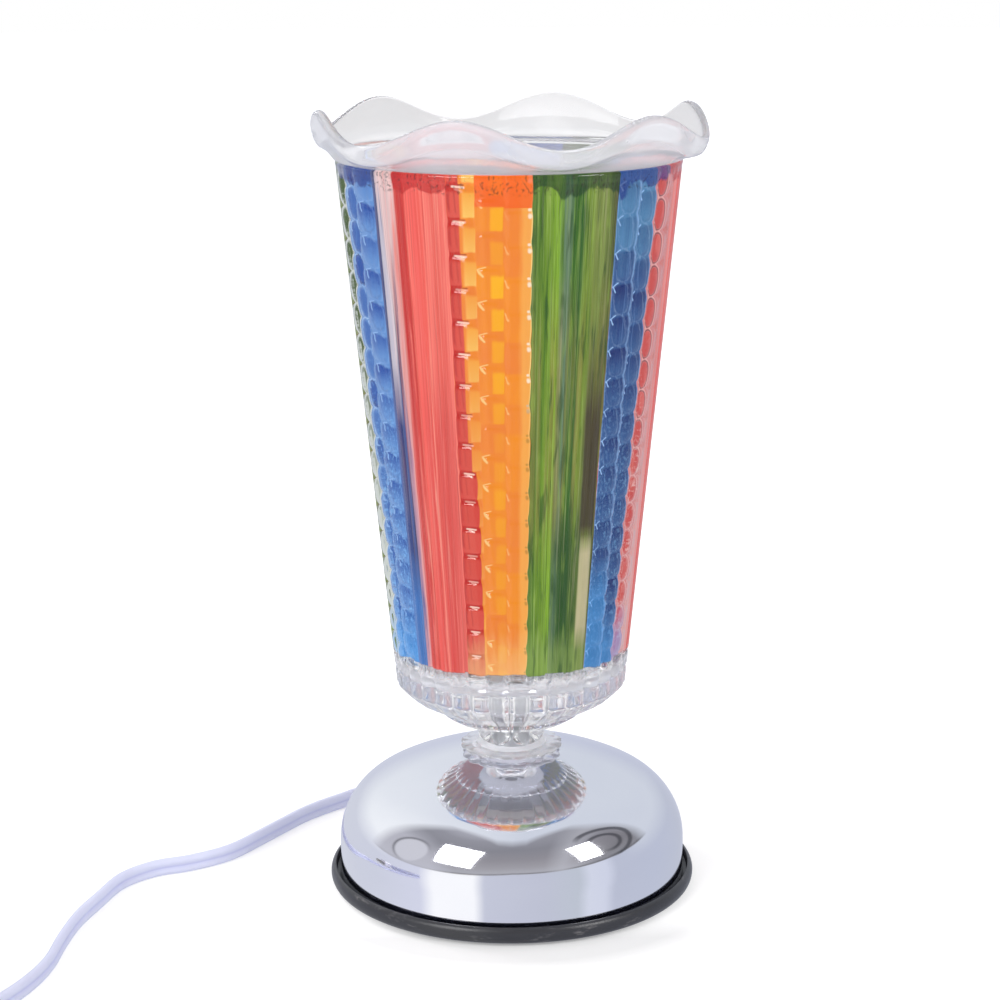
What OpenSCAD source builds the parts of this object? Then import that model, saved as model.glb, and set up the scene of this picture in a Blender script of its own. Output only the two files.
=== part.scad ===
// Oil warmer lamp with a ruffled glass dish for scented oil, a tall painted
// glass shade, and a domed metal base that switches the lamp when touched.
// Millimetres. Z is up, the front is -Y, and the table is at Z = 0.

/* [Base] */
// Outside radius of the straight dome wall
dome_r = 54.8; // [48:0.1:66]
// Height of the straight dome wall
dome_wall_h = 11.1; // [9:0.1:18]
// Radius of the rounded shoulder
shoulder_r = 22.2; // [18:0.1:26]
// Angle through which the shoulder turns
shoulder_angle = 63; // [58:1:68]
// Radius of the shallow crown
crown_r = 95.5; // [85:0.5:110]
// Radius of the flat land under the shade
land_r = 12.5; // [12.5:0.1:16]
// Sheet thickness of the dome
dome_t = 1; // [0.6:0.1:1.6]
// Width of the groove between the dome and the tray lip
groove_w = 1.5; // [1:0.1:3]
// Thickness of the tray lip
lip_t = 1.7; // [1.4:0.1:3]
// Height of the tray lip above the tray floor
lip_h = 2.8; // [2:0.1:6]
// Thickness of the tray floor
tray_t = 2.4; // [2:0.1:4]
// Radius of a foot pad
pad_r = 6; // [4:0.1:8]
// Thickness of a foot pad
pad_t = 1.6; // [1.2:0.1:2]
// How far the foot pads stand out below the tray
pad_out = 0.6; // [0.4:0.1:1]

/* [Shade] */
// Height of the glass from its foot to its rim
shade_h = 185.8; // [150:0.1:220]
// Outside radius at the rim
shade_rim_r = 52.3; // [48:0.1:62]
// Outside radius at the foot of the clear band
band_r = 36; // [33:0.1:44]
// Height of the foot of the clear band above the glass foot
band_z = 22.4; // [21:0.1:30]
// Height of the clear band
band_h = 9.4; // [6:0.1:16]
// Thickness of the glass wall
glass_t = 3.5; // [2.5:0.1:4.5]
// Radius of the clear disc that the glass stands on
foot_r = 16.2; // [14:0.1:18]
// Radius of the neck between that disc and the cup
neck_r = 8.6; // [8.2:0.1:9.4]
// Radius of the cup above the neck
cup_r = 22.4; // [19:0.1:26]
// Number of glass beads round the neck
beads = 8; // [5:1:8]
// Radius of a glass bead
bead_r = 3; // [2.2:0.1:3]

/* [Oil dish] */
// Number of ruffles round the rim
ruffles = 6; // [4:2:10]
// Height of a ruffle above and below the middle of the rim
ruffle_h = 4.1; // [1:0.1:6]
// Direction of one ruffle crest, from the front towards the right
ruffle_turn = -15; // [-30:1:30]
// How far the rim stands out past the shade
dish_out = 7.2; // [4:0.1:12]
// Height of the middle of the rim above the shade rim
dish_rise = 11.4; // [8:0.1:16]
// How deep the bowl hangs below the shade rim
dish_drop = 6; // [4:0.1:12]
// Thickness of the dish glass
dish_t = 3; // [2.4:0.1:4]

/* [Lampholder and tube] */
// Outside radius of the threaded tube
tube_r = 5; // [4.6:0.1:5.4]
// Bore radius of the threaded tube
tube_bore = 3.5; // [3:0.1:3.8]
// Width across the flats of the tube nuts
nut_af = 14; // [13:0.1:15]
// Thickness of the tube nuts
nut_t = 3.5; // [3:0.1:5]
// Radius of the ceramic lampholder
holder_r = 16; // [15:0.1:18]
// Height of the ceramic lampholder
holder_h = 17; // [16:0.1:20]
// Distance from the shade floor to the lampholder foot
holder_up = 23; // [22:0.1:40]

/* [Bulb] */
// Radius of the reflector bulb at its front
bulb_r = 25.2; // [23:0.1:26]
// Length of the bulb above the lampholder
bulb_h = 52; // [48:0.1:58]
// Distance between the two bulb pins
pin_gap = 10; // [9.8:0.1:10.2]
// Angle of the twist that frees the bulb
twist = 25; // [20:1:30]

/* [Touch module] */
// Length of the module case, left to right
case_l = 46; // [40:0.5:52]
// Width of the module case, front to back
case_w = 30; // [26:0.5:34]
// Height of the module case with its lid
case_h = 15; // [13:0.5:17]

/* [Cord] */
// Width of the flat twin lead
cord_w = 5.6; // [5.2:0.1:6]
// Thickness of the flat twin lead
cord_t = 2.8; // [2.6:0.1:3]
// Direction of the cord exit, from the right towards the back
exit_turn = 80; // [70:1:90]
// Length of the tapered strain relief outside the dome
boot_l = 21; // [20:0.5:30]

/* [Hidden] */
$fn = 96;

// Clearances
slip = 0.1;
thread_gap = 0.06;
hole_gap = 0.2;
move_gap = 0.3;
tie_gap = 0.3;

// Heights of the base, from the table upwards
tray_z = pad_out;
tray_top = tray_z + tray_t;
lip_top = tray_top + lip_h;
wall_top = tray_top + dome_wall_h;

// Radii of the base
dome_in_r = dome_r - dome_t;
lip_in_r = dome_r + groove_w;
tray_r = lip_in_r + lip_t;

// Where the shoulder ends and the crown is centred
shoulder_c = dome_r - shoulder_r;
crown_cr = shoulder_c - (crown_r - shoulder_r) * cos(shoulder_angle);
crown_cz = wall_top - (crown_r - shoulder_r) * sin(shoulder_angle);
land_angle = acos((land_r - crown_cr) / crown_r);
land_z = crown_cz + crown_r * sin(land_angle);
land_in_angle = acos((land_r - crown_cr) / (crown_r - dome_t));

// Screws that hold the tray to the dome brackets
screw_angles = [0, 120, 240];
screw_at = dome_in_r - 8;
screw_r = 1.5;
screw_head_r = 2.75;
screw_head_h = 2;
boss_r = 5;
boss_h = 2;
boss_top = tray_top + boss_h;
head_top = tray_z + screw_head_h + 0.6;
tab_t = 1.2;
tab_half = 5.2;
tab_h = min(8, wall_top - boss_top - 0.5);

// Foot pads stand between the screws
pad_angles = [45, 135, 225, 315];
pad_at = dome_in_r - 9;

// Stack on the threaded tube, from the dome upwards
gasket_t = 0.8;
glass_z = land_z + gasket_t;
rim_z = glass_z + shade_h;
floor_z = glass_z + band_z + 3.1;
seal_t = 1;
washer_t = 1.5;
plate_t = 2;
seal_top = floor_z + seal_t;
washer_top = seal_top + washer_t;
clamp_top = washer_top + nut_t;
holder_z = floor_z + holder_up;
holder_top = holder_z + holder_h;
post_h = 9;
plate_top = holder_z - post_h;
plate_z = plate_top - plate_t;
tube_top = plate_top + 1.5;
under_z = crown_cz + (crown_r - dome_t) * sin(land_in_angle);
spring_t = 1;
tag_t = 0.8;
tag_z = under_z - spring_t - tag_t;
nut_z = tag_z - nut_t;
tube_z = nut_z - 2;

// Lampholder and bulb fit
lip_depth = 3;
slot_depth = 10;
pin_at = pin_gap / 2;
pin_r = 1.5;
pin_head_r = 2.4;
pin_head_h = 3.3;
slot_r = pin_r + move_gap;
entry_r = pin_head_r + move_gap;
pin_head_top = holder_top - lip_depth - move_gap;
pin_foot = pin_head_top - pin_head_h;
post_at = 11;
post_r = 2.6;
lead_r = 1.1;
lead_bore = lead_r + hole_gap;
lead_in = holder_z + 4;

// Bulb heights
cap_r = 9.5;
cap_h = 18;
cap_top = holder_top + cap_h;
neck_in = 8.4;
bulb_top = holder_top + bulb_h;
bulb_t = 1.4;
lens_t = 2;
lens_r = bulb_r - bulb_t - slip;

// Shade sizes at a height above the glass foot
band_top = band_z + band_h;
wall_slope = (shade_rim_r - band_r) / (shade_h - band_z);
function wall_r(h) = band_r + (h - band_z) * wall_slope;
function inner_r(z) = wall_r(z - glass_z) - glass_t;
glass_bore = tube_r + 0.6;
rim_in_r = shade_rim_r - glass_t;

// Touch module
case_y = -14;
tape_t = 1;
case_z = tray_top + tape_t;
case_top = case_z + case_h;
case_t = 1.6;
lid_t = 1.8;
board_t = 1.6;
board_up = 3;
board_z = case_z + case_t + board_up;

// Cord exit through the back of the dome
bush_r = 3.9;
flange_r = 4.6;
exit_z = lip_top + 0.6 + flange_r;
collar_in = dome_in_r - 3.4;
collar_out = dome_in_r - 0.4;
flange_in = dome_r + 0.05;
flange_out = flange_in + 2.2;
boot_end = flange_in + boot_l;
tail_gap = cord_t / 2;

// Ways between a point and a path
function unit(v) = v / norm(v);
function spline(a, b, c, d, t) = 0.5 * (2 * b + (c - a) * t + (2 * a - 5 * b + 4 * c - d) * t * t
    + (3 * b - a - 3 * c + d) * t * t * t);
function smooth(p, k) = concat(
    [for (i = [0:len(p) - 2]) for (j = [0:k - 1])
        spline(p[max(i - 1, 0)], p[i], p[i + 1], p[min(i + 2, len(p) - 1)], j / k)],
    [p[len(p) - 1]]);
function heading(p, i) = unit(p[min(i + 1, len(p) - 1)] - p[max(i - 1, 0)]);
function path_length(p) = len(p) < 2 ? 0 : [for (i = 0, s = 0; i < len(p); i = i + 1,
    s = s + (i < len(p) ? norm(p[i] - p[i - 1]) : 0)) s][len(p) - 1];
function arc(cx, cy, r, a0, a1, n) = [for (i = [0:n])
    [cx + r * cos(a0 + (a1 - a0) * i / n), cy + r * sin(a0 + (a1 - a0) * i / n)]];
function reversed(p) = [for (i = [len(p) - 1:-1:0]) p[i]];

// Route of the free cord on the table, from the strain relief to the coil
exit_dir = [cos(exit_turn), sin(exit_turn), 0];
exit_side = [sin(exit_turn), -cos(exit_turn), 0];
lie_z = cord_w / 2;
cord_start = boot_end * exit_dir + [0, 0, exit_z];
coil_low = 0.6 + tie_gap + cord_w / 2;
route = [
    [13.9, 92.4, 10.6],
    [9, 102, 8.8],
    [0.4, 108.6, 6.8],
    [-10.2, 111, 5],
    [-20.8, 108.6, 3.6],
    [-29.4, 102, lie_z],
    [-36.5, 90, lie_z],
    [-43, 78, lie_z],
    [-55, 64, lie_z],
    [-69, 49, lie_z],
    [-81, 30, lie_z],
    [-92, 13, lie_z],
    [-104, 4, lie_z],
    [-115, -1, lie_z],
    [-124, -11, lie_z],
    [-129, -27, lie_z],
    [-133, -42, lie_z],
    [-135, -58, lie_z],
    [-136, -73, lie_z],
    [-139, -86, lie_z],
    [-145, -100, lie_z],
    [-154, -113, lie_z + 0.4]
];

// Coil of the length that is not laid out
coil_c = [-190, -92];
coil_r = 37.2;
coil_pitch = 3.5;
coil_from = -60;
coil_turns = 7 + 165 / 360;
layer = cord_w + 0.45;
function ease(t) = let (c = max(0, min(1, t))) c * c * (3 - 2 * c);
function coil_at(f) = let (
    r = coil_r - coil_pitch * min(f, coil_turns - f),
    a = coil_from - 360 * f,
    z = coil_low + layer * ease((f - coil_turns / 2 + 0.25) / 0.5))
    [coil_c[0] + r * cos(a), coil_c[1] + r * sin(a), z];
coil_dir = [sin(coil_from), -cos(coil_from), 0];
coil_in = coil_at(0) - 6 * coil_dir;
coil_end = coil_at(coil_turns);
plug_z = 7.5;
tail_turn = coil_from - 360 * coil_turns - 90;
tail_dir = [cos(tail_turn), sin(tail_turn), 0];
drop = coil_end[2] - plug_z;
wound = concat(
    [coil_in, coil_in + 3 * coil_dir],
    [for (i = [0:ceil(24 * coil_turns) - 1]) coil_at(i / 24)],
    [for (q = [[0, 0], [4, 0.2], [9, 0.8], [13, 1], [20, 1]])
        coil_end + q[0] * tail_dir - [0, 0, q[1] * drop]]);
plug_at = wound[len(wound) - 1];
laid = smooth(concat([cord_start, cord_start + 7 * exit_dir], route, [coil_in - 4 * coil_dir, coil_in]), 2);

// Least gap between turns of the coil, taken between points half a turn apart or more
function apart(a, b) = norm([a[0] - b[0], a[1] - b[1], max(0, abs(a[2] - b[2]) - cord_w + cord_t)]) - cord_t;
coil_gap = min([for (i = [0:len(wound) - 13]) for (j = [i + 12:len(wound) - 1]) apart(wound[i], wound[j])]);
echo(coil_gap = coil_gap);
echo(cord_length = path_length(laid) + path_length(wound));

// Plug sizes
plug_neck = 9;
plug_l = 20;
plug_w = 20;
plug_h = 2 * plug_z;
blade_l = 17;
blade_w = 6.35;
blade_t = 1.52;
blade_gap = 12.7;

// Tie round the coil
tie_turn = -140;
tie_t = 0.6;
tie_w = 7;
tie_f = (coil_from - tie_turn) / 360;
tie_in = coil_r - coil_pitch * (tie_f + 3) - cord_t / 2 - 2 * tie_gap;
tie_out = coil_r - coil_pitch * tie_f + cord_t / 2 + tie_gap;
tie_h = layer + cord_w + 2 * tie_gap;

// Dish outline as radius, height above the shade rim, and share of the ruffle
seat_in = rim_in_r - 1.4;
seat_out = shade_rim_r;
rim_r = shade_rim_r + dish_out;
dish_floor_r = seat_in - 7;
dish_under = [
    [0, -dish_drop, 0],
    [dish_floor_r, -dish_drop, 0],
    [dish_floor_r + 3, -0.86 * dish_drop, 0],
    [dish_floor_r + 5.4, -0.5 * dish_drop, 0],
    [seat_in, 0, 0],
    [seat_out, 0, 0],
    [seat_out + 0.22 * dish_out, 0.12 * dish_rise, 0.12],
    [seat_out + 0.5 * dish_out, 0.26 * dish_rise, 0.42],
    [seat_out + 0.78 * dish_out, 0.46 * dish_rise, 0.76],
    [seat_out + 0.95 * dish_out, 0.72 * dish_rise, 0.95],
    [rim_r, 0.92 * dish_rise, 1]
];
dish_over = [
    [rim_r - 0.15 * dish_t, 0.98 * dish_rise, 1],
    [rim_r - 0.4 * dish_t, dish_rise, 1],
    [rim_r - 0.65 * dish_t, 0.97 * dish_rise, 1],
    [rim_r - 0.8 * dish_t, 0.86 * dish_rise, 1],
    [seat_out + 0.44 * dish_out, 0.26 * dish_rise + 0.9 * dish_t, 0.72],
    [seat_out + 0.1 * dish_out, 0.1 * dish_rise + dish_t, 0.3],
    [seat_out - 3, 0.9 * dish_t, 0.06],
    [seat_in - 0.4, 0.55 * dish_t, 0],
    [dish_floor_r + 3.6, -0.5 * dish_drop + 0.72 * dish_t, 0],
    [dish_floor_r + 0.6, dish_t - 0.94 * dish_drop, 0],
    [dish_floor_r - 2, dish_t - dish_drop, 0]
];
dish_line = concat([for (i = [1:len(dish_under) - 1]) dish_under[i]], dish_over);
dish_n = 72;
function dish_point(q, a) = let (w = cos(ruffles * (a - ruffle_turn)), r = q[0] - 0.9 * q[2] * w)
    [r * sin(a), -r * cos(a), rim_z + q[1] + ruffle_h * q[2] * w];

// Tube of any section along a path, closed at both ends
module swept(p, rings) {
    m = len(rings[0]);
    n = len(p);
    points = concat([for (r = rings) each r], [p[0], p[n - 1]]);
    sides = [for (i = [0:n - 2]) for (j = [0:m - 1])
        let (a = i * m + j, b = i * m + (j + 1) % m, c = b + m, d = a + m)
        each [[a, d, c], [a, c, b]]];
    ends = [for (j = [0:m - 1]) let (k = (j + 1) % m, e = (n - 1) * m)
        each [[n * m, j, k], [n * m + 1, e + k, e + j]]];
    polyhedron(points = points, faces = concat(sides, ends), convexity = 10);
}

// Flat lead that lies on its edge
module flat_lead(p, section) {
    rings = [for (i = [0:len(p) - 1])
        let (t = heading(p, i), n = unit([-t[1], t[0], 0]), b = cross(t, n))
        [for (s = section) p[i] + s[0] * n + s[1] * b]];
    swept(p, rings);
}

// Round wire whose path stays clear of the direction across
module wire(p, r, across) {
    rings = [for (i = [0:len(p) - 1])
        let (t = heading(p, i), n = unit(cross(across, t)), b = cross(t, n))
        [for (k = [0:7]) p[i] + r * cos(45 * k) * n + r * sin(45 * k) * b]];
    swept(p, rings);
}

// Nut or washer on the axis
module ring(z, h, r_out, r_in) {
    translate([0, 0, z])
        difference() {
            cylinder(r = r_out, h = h);
            translate([0, 0, -1])
                cylinder(r = r_in, h = h + 2);
        }
}

// Six-sided nut on the axis
module hex_nut(z) {
    translate([0, 0, z])
        difference() {
            intersection() {
                linear_extrude(height = nut_t)
                    polygon([for (k = [0:5]) nut_af / sqrt(3) * [cos(60 * k), sin(60 * k)]]);
                cylinder(r = nut_af / 2 + 0.75, h = nut_t);
            }
            translate([0, 0, -1])
                cylinder(r = tube_r + thread_gap, h = nut_t + 2);
        }
}

// Keyhole path of one pin: a round entry, a bent slot and a round end
module keyhole(z, h, end_r, arm_r) {
    translate([0, 0, z]) {
        rotate([0, 0, 90])
            translate([pin_at, 0, 0])
                cylinder(r = arm_r, h = h);
        rotate([0, 0, 90 + twist])
            translate([pin_at, 0, 0])
                cylinder(r = end_r, h = h);
        rotate([0, 0, 90])
            rotate_extrude(angle = twist)
                translate([pin_at - arm_r + 0.05, 0])
                    square([2 * arm_r - 0.1, h]);
    }
}

module oil_dish() {
    m = len(dish_line);
    rings = [for (k = [0:dish_n - 1]) [for (q = dish_line) dish_point(q, 360 * k / dish_n)]];
    points = concat([for (r = rings) each r],
        [[0, 0, rim_z - dish_drop], [0, 0, rim_z + dish_t - dish_drop]]);
    sides = [for (k = [0:dish_n - 1]) for (j = [0:m - 2])
        let (a = k * m + j, b = a + 1, d = ((k + 1) % dish_n) * m + j, c = d + 1)
        each [[a, b, c], [a, c, d]]];
    floors = [for (k = [0:dish_n - 1]) let (a = k * m, d = ((k + 1) % dish_n) * m)
        each [[dish_n * m, a, d], [dish_n * m + 1, d + m - 1, a + m - 1]]];
    color([0.86, 0.93, 0.95, 0.55])
        polyhedron(points = points, faces = concat(sides, floors), convexity = 6);
}

module glass_shade() {
    outside = concat(
        [[glass_bore, 0], [foot_r - 0.5, 0], [foot_r, 0.35], [foot_r, 0.8], [foot_r - 0.7, 1.2],
            [neck_r + 2.2, 1.7], [neck_r + 0.5, 2.6], [neck_r, 4.4], [neck_r, 5.8], [neck_r + 0.8, 7.6],
            [0.62 * cup_r, 8.7], [0.85 * cup_r, 10.2], [cup_r, 12.4],
            [cup_r, 13],
            [cup_r + 0.8, 13.4], [band_r - 4.5, band_z - 4.4], [band_r - 0.8, band_z - 0.9],
            [band_r, band_z]],
        [[wall_r(band_top), band_top], [shade_rim_r, shade_h - 1]],
        arc(shade_rim_r - 1, shade_h - 1, 1, 0, 90, 6),
        arc(rim_in_r + 1, shade_h - 1, 1, 90, 180, 6),
        [[wall_r(band_z + 9) - glass_t, band_z + 9]],
        arc(wall_r(band_z + 9) - glass_t - 6, band_z + 9.1, 6, 0, -90, 8),
        [[glass_bore, band_z + 3.1]]);
    color([0.55, 0.7, 0.62, 0.6])
        translate([0, 0, glass_z]) {
            rotate_extrude()
                polygon(outside);
            for (k = [0:beads - 1])
                rotate([0, 0, (k + 0.5) * 360 / beads])
                    translate([neck_r - 0.6, 0, 5.3])
                        sphere(r = bead_r);
        }
}

module base_dome() {
    outside = concat(
        [[dome_r, tray_top]],
        arc(shoulder_c, wall_top, shoulder_r, 0, shoulder_angle, 14),
        arc(crown_cr, crown_cz, crown_r, shoulder_angle + 1.5, land_angle, 10),
        [[tube_r + hole_gap, land_z]]);
    inside = concat(
        [[dome_in_r, tray_top]],
        arc(shoulder_c, wall_top, shoulder_r - dome_t, 0, shoulder_angle, 14),
        arc(crown_cr, crown_cz, crown_r - dome_t, shoulder_angle + 1.5, land_in_angle, 10),
        [[tube_r + hole_gap, under_z]]);
    color([0.85, 0.86, 0.9])
        difference() {
            rotate_extrude()
                polygon(concat(outside, reversed(inside)));
            rotate([0, 0, exit_turn])
                translate([dome_in_r - 4, 0, exit_z])
                    rotate([0, 90, 0])
                        cylinder(r = bush_r + hole_gap, h = 10);
        }
}

module base_tray() {
    color([0.16, 0.16, 0.18])
        difference() {
            union() {
                rotate_extrude()
                    polygon([[0, tray_z], [tray_r - 1, tray_z], [tray_r, tray_z + 1], [tray_r, lip_top - 0.6],
                        [tray_r - 0.6, lip_top], [lip_in_r + 0.4, lip_top], [lip_in_r, lip_top - 0.4],
                        [lip_in_r, tray_top], [dome_in_r - hole_gap, tray_top],
                        [dome_in_r - hole_gap, tray_top + 1.6], [dome_in_r - 1.4, tray_top + 1.6],
                        [dome_in_r - 1.4, tray_top], [0, tray_top]]);
                for (a = screw_angles)
                    rotate([0, 0, a])
                        translate([screw_at, 0, tray_top - 0.5])
                            cylinder(r = boss_r, h = boss_h + 0.5);
            }
            for (a = screw_angles)
                rotate([0, 0, a])
                    translate([screw_at, 0, tray_z - 1]) {
                        cylinder(r = screw_head_r + hole_gap, h = head_top - tray_z + 1);
                        cylinder(r = screw_r + hole_gap, h = boss_top - tray_z + 2);
                    }
            for (a = pad_angles)
                rotate([0, 0, a])
                    translate([pad_at, 0, tray_z - 1])
                        cylinder(r = pad_r + slip, h = pad_t - pad_out + 1);
        }
}

module foot_pads() {
    color([0.1, 0.1, 0.1])
        for (a = pad_angles)
            rotate([0, 0, a])
                translate([pad_at, 0, 0]) {
                    cylinder(r1 = pad_r - 0.4, r2 = pad_r, h = 0.4);
                    translate([0, 0, 0.4])
                        cylinder(r = pad_r, h = pad_t - 0.4);
                }
}

module cover_screws() {
    color([0.7, 0.7, 0.72])
        for (a = screw_angles)
            rotate([0, 0, a])
                translate([screw_at, 0, 0])
                    difference() {
                        union() {
                            translate([0, 0, head_top - screw_head_h])
                                cylinder(r = screw_head_r, h = screw_head_h);
                            translate([0, 0, head_top - 0.1])
                                cylinder(r = screw_r - thread_gap, h = boss_top - head_top + tab_t + 2);
                        }
                        for (q = [0, 90])
                            rotate([0, 0, q])
                                translate([-1.6, -0.3, head_top - screw_head_h - 1])
                                    cube([3.2, 0.6, 2]);
                    }
}

module dome_brackets() {
    color([0.72, 0.72, 0.74])
        for (a = screw_angles)
            rotate([0, 0, a])
                difference() {
                    intersection() {
                        union() {
                            ring(boss_top, tab_t, dome_in_r - slip, screw_at - 5);
                            ring(boss_top, tab_h, dome_in_r - slip, dome_in_r - slip - tab_t);
                        }
                        translate([screw_at - 6, -tab_half, boss_top])
                            cube([dome_r, 2 * tab_half, tab_h]);
                    }
                    translate([screw_at, 0, boss_top - 1])
                        cylinder(r = screw_r, h = tab_t + 2);
                }
}

module threaded_tube() {
    color([0.75, 0.68, 0.45])
        ring(tube_z, tube_top - tube_z, tube_r, tube_bore);
}

module dome_nut() {
    color([0.78, 0.72, 0.5])
        hex_nut(nut_z);
}

module spring_washer() {
    color([0.6, 0.6, 0.62])
        difference() {
            ring(tag_z + tag_t, spring_t, tube_r + 4, tube_r + hole_gap);
            translate([0, -0.6, tag_z])
                cube([tube_r + 5, 1.2, 4]);
        }
}

module shade_gasket() {
    color([0.9, 0.9, 0.9, 0.7])
        ring(land_z, gasket_t, neck_r + 2, tube_r + hole_gap);
}

module shade_seal() {
    color([0.2, 0.2, 0.2])
        ring(floor_z, seal_t, 12, tube_r + hole_gap);
}

module clamp_washer() {
    color([0.7, 0.7, 0.72])
        ring(seal_top, washer_t, 12.5, tube_r + hole_gap);
}

module clamp_nut() {
    color([0.78, 0.72, 0.5])
        hex_nut(washer_top);
}

module holder_nut() {
    color([0.78, 0.72, 0.5])
        hex_nut(plate_z - nut_t);
}

module holder_plate() {
    color([0.72, 0.72, 0.74])
        difference() {
            union() {
                translate([0, 0, plate_z])
                    cylinder(r = holder_r - 0.5, h = plate_t);
                for (s = [-1, 1])
                    translate([s * post_at, 0, plate_z + 0.5])
                        cylinder(r = post_r, h = holder_z - plate_z - 0.5);
            }
            translate([0, 0, plate_z - 1])
                cylinder(r = tube_r + thread_gap, h = plate_t + 2);
            for (s = [-1, 1])
                translate([s * post_at, 0, plate_top])
                    cylinder(r = screw_r, h = post_h + 1);
        }
}

module lampholder() {
    color([0.9, 0.86, 0.76])
        difference() {
            rotate_extrude()
                polygon([[0, holder_z], [holder_r, holder_z], [holder_r, holder_top - 1],
                    [holder_r - 1, holder_top], [0, holder_top]]);
            for (s = [0, 180])
                rotate([0, 0, s]) {
                    keyhole(holder_top - lip_depth - 0.1, lip_depth + 1, entry_r, slot_r);
                    keyhole(holder_top - slot_depth, slot_depth - lip_depth, entry_r, entry_r);
                    translate([0, pin_at, holder_z - 1])
                        cylinder(r = lead_bore, h = lead_in - holder_z + 1);
                    translate([post_at, 0, holder_z - 1])
                        cylinder(r = screw_r + hole_gap, h = holder_h + 2);
                    translate([post_at, 0, holder_top - 6])
                        cylinder(r = screw_head_r + hole_gap, h = 7);
                }
        }
}

module holder_screws() {
    color([0.7, 0.7, 0.72])
        for (s = [-1, 1])
            translate([s * post_at, 0, 0])
                difference() {
                    union() {
                        translate([0, 0, holder_top - 6])
                            cylinder(r = screw_head_r, h = screw_head_h);
                        translate([0, 0, plate_top + 2])
                            cylinder(r = screw_r - thread_gap, h = holder_top - plate_top - 7);
                    }
                    translate([-4, -0.4, holder_top - 4.8])
                        cube([8, 0.8, 2]);
                }
}

module holder_contacts() {
    color([0.85, 0.7, 0.35])
        for (s = [-1, 1])
            translate([0, s * pin_at, holder_top - slot_depth])
                cylinder(r = pin_head_r - 0.2, h = pin_foot - move_gap - holder_top + slot_depth);
}

module holder_leads() {
    color([0.85, 0.85, 0.82])
        for (s = [-1, 1])
            wire(smooth([
                [0, s * pin_at, lead_in],
                [0, s * pin_at, holder_z],
                [0, s * (pin_at - 0.6), holder_z - 2.4],
                [0, s * 2.2, holder_z - 5],
                [0, s * 1.6, tube_top],
                [0, s * 1.6, (tube_top + tube_z) / 2],
                [0, s * 1.6, tube_z],
                [s, s * 1.6, tube_z - 3],
                [s * 4, s * 1.6 - 3, (tube_z + case_top) / 2],
                [s * 6, s * 1.6 - 6, case_top + 3],
                [s * 6, s * 1.6 - 6, case_top]], 3), lead_r, [1, 0.2, 0]);
}

module bulb_cap() {
    color([0.93, 0.92, 0.88])
        difference() {
            rotate_extrude()
                polygon([[0, holder_top], [cap_r - 0.5, holder_top], [cap_r, holder_top + 0.5],
                    [cap_r, holder_top + 9], [cap_r + 2.5, cap_top - 3], [cap_r + 2.5, cap_top],
                    [neck_in + slip, cap_top], [neck_in + slip, cap_top - 7], [0, cap_top - 7]]);
            for (s = [-1, 1])
                translate([0, s * pin_at, holder_top - 1])
                    cylinder(r = pin_r + thread_gap, h = 5);
        }
}

module bulb_pins() {
    color([0.75, 0.75, 0.78])
        for (s = [-1, 1])
            translate([0, s * pin_at, 0]) {
                translate([0, 0, pin_foot])
                    cylinder(r = pin_head_r, h = pin_head_h);
                translate([0, 0, pin_foot + 1])
                    cylinder(r = pin_r, h = holder_top + 4 - pin_foot - 1);
            }
}

module bulb_reflector() {
    out = [for (i = [0:10]) let (t = i / 10)
        [neck_in + (bulb_r - neck_in) * pow(t, 0.55), cap_top + 0.5 + (bulb_h - cap_h - 4.5) * t]];
    in = [for (i = [0:10]) let (t = i / 10)
        [neck_in + (bulb_r - neck_in) * pow(t, 0.55) - bulb_t, cap_top + 2 + (bulb_h - cap_h - 6) * t]];
    color([0.35, 0.35, 0.4, 0.8])
        rotate_extrude()
            polygon(concat(
                [[neck_in - bulb_t, cap_top - 7], [neck_in, cap_top - 7]],
                out,
                [[bulb_r, bulb_top - 0.5], [bulb_r - 0.5, bulb_top], [bulb_r - bulb_t, bulb_top]],
                reversed(in)));
}

module bulb_capsule() {
    color([0.9, 0.92, 0.95, 0.6]) {
        translate([-3.4, -1.2, cap_top - 7])
            cube([6.8, 2.4, 9]);
        translate([0, 0, cap_top + 1])
            cylinder(r = 3.4, h = 13);
        translate([0, 0, cap_top + 14])
            sphere(r = 3.4);
    }
}

module bulb_lens() {
    color([0.9, 0.93, 0.95, 0.5])
        translate([0, 0, bulb_top - 0.4 - lens_t])
            cylinder(r = lens_r, h = lens_t);
}

module module_case() {
    color([0.2, 0.2, 0.22])
        translate([-case_l / 2, case_y - case_w / 2, case_z])
            difference() {
                cube([case_l, case_w, case_h - lid_t]);
                difference() {
                    translate([case_t, case_t, case_t])
                        cube([case_l - 2 * case_t, case_w - 2 * case_t, case_h]);
                    for (x = [5, case_l - 5])
                        for (y = [5, case_w - 5])
                            translate([x, y, case_t])
                                cylinder(r = 2, h = board_up);
                }
                for (s = [-1, 1])
                    translate([case_l / 2 + s * tail_gap, case_w - case_t - 1, exit_z - case_z])
                        rotate([-90, 0, 0])
                            cylinder(r = 1.2, h = case_t + 2);
            }
}

module module_lid() {
    color([0.25, 0.25, 0.27])
        translate([-case_l / 2, case_y - case_w / 2, case_top - lid_t])
            difference() {
                union() {
                    cube([case_l, case_w, lid_t]);
                    translate([case_t + slip, case_t + slip, -1.2])
                        cube([case_l - 2 * (case_t + slip), 1.2, 1.3]);
                    translate([case_t + slip, case_w - case_t - slip - 1.2, -1.2])
                        cube([case_l - 2 * (case_t + slip), 1.2, 1.3]);
                }
                for (s = [-1, 1])
                    translate([case_l / 2 + s * 6, case_w / 2 - case_y + s * 1.6 - 6, -2])
                        cylinder(r = lead_r - 0.3, h = lid_t + 3);
            }
}

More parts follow.
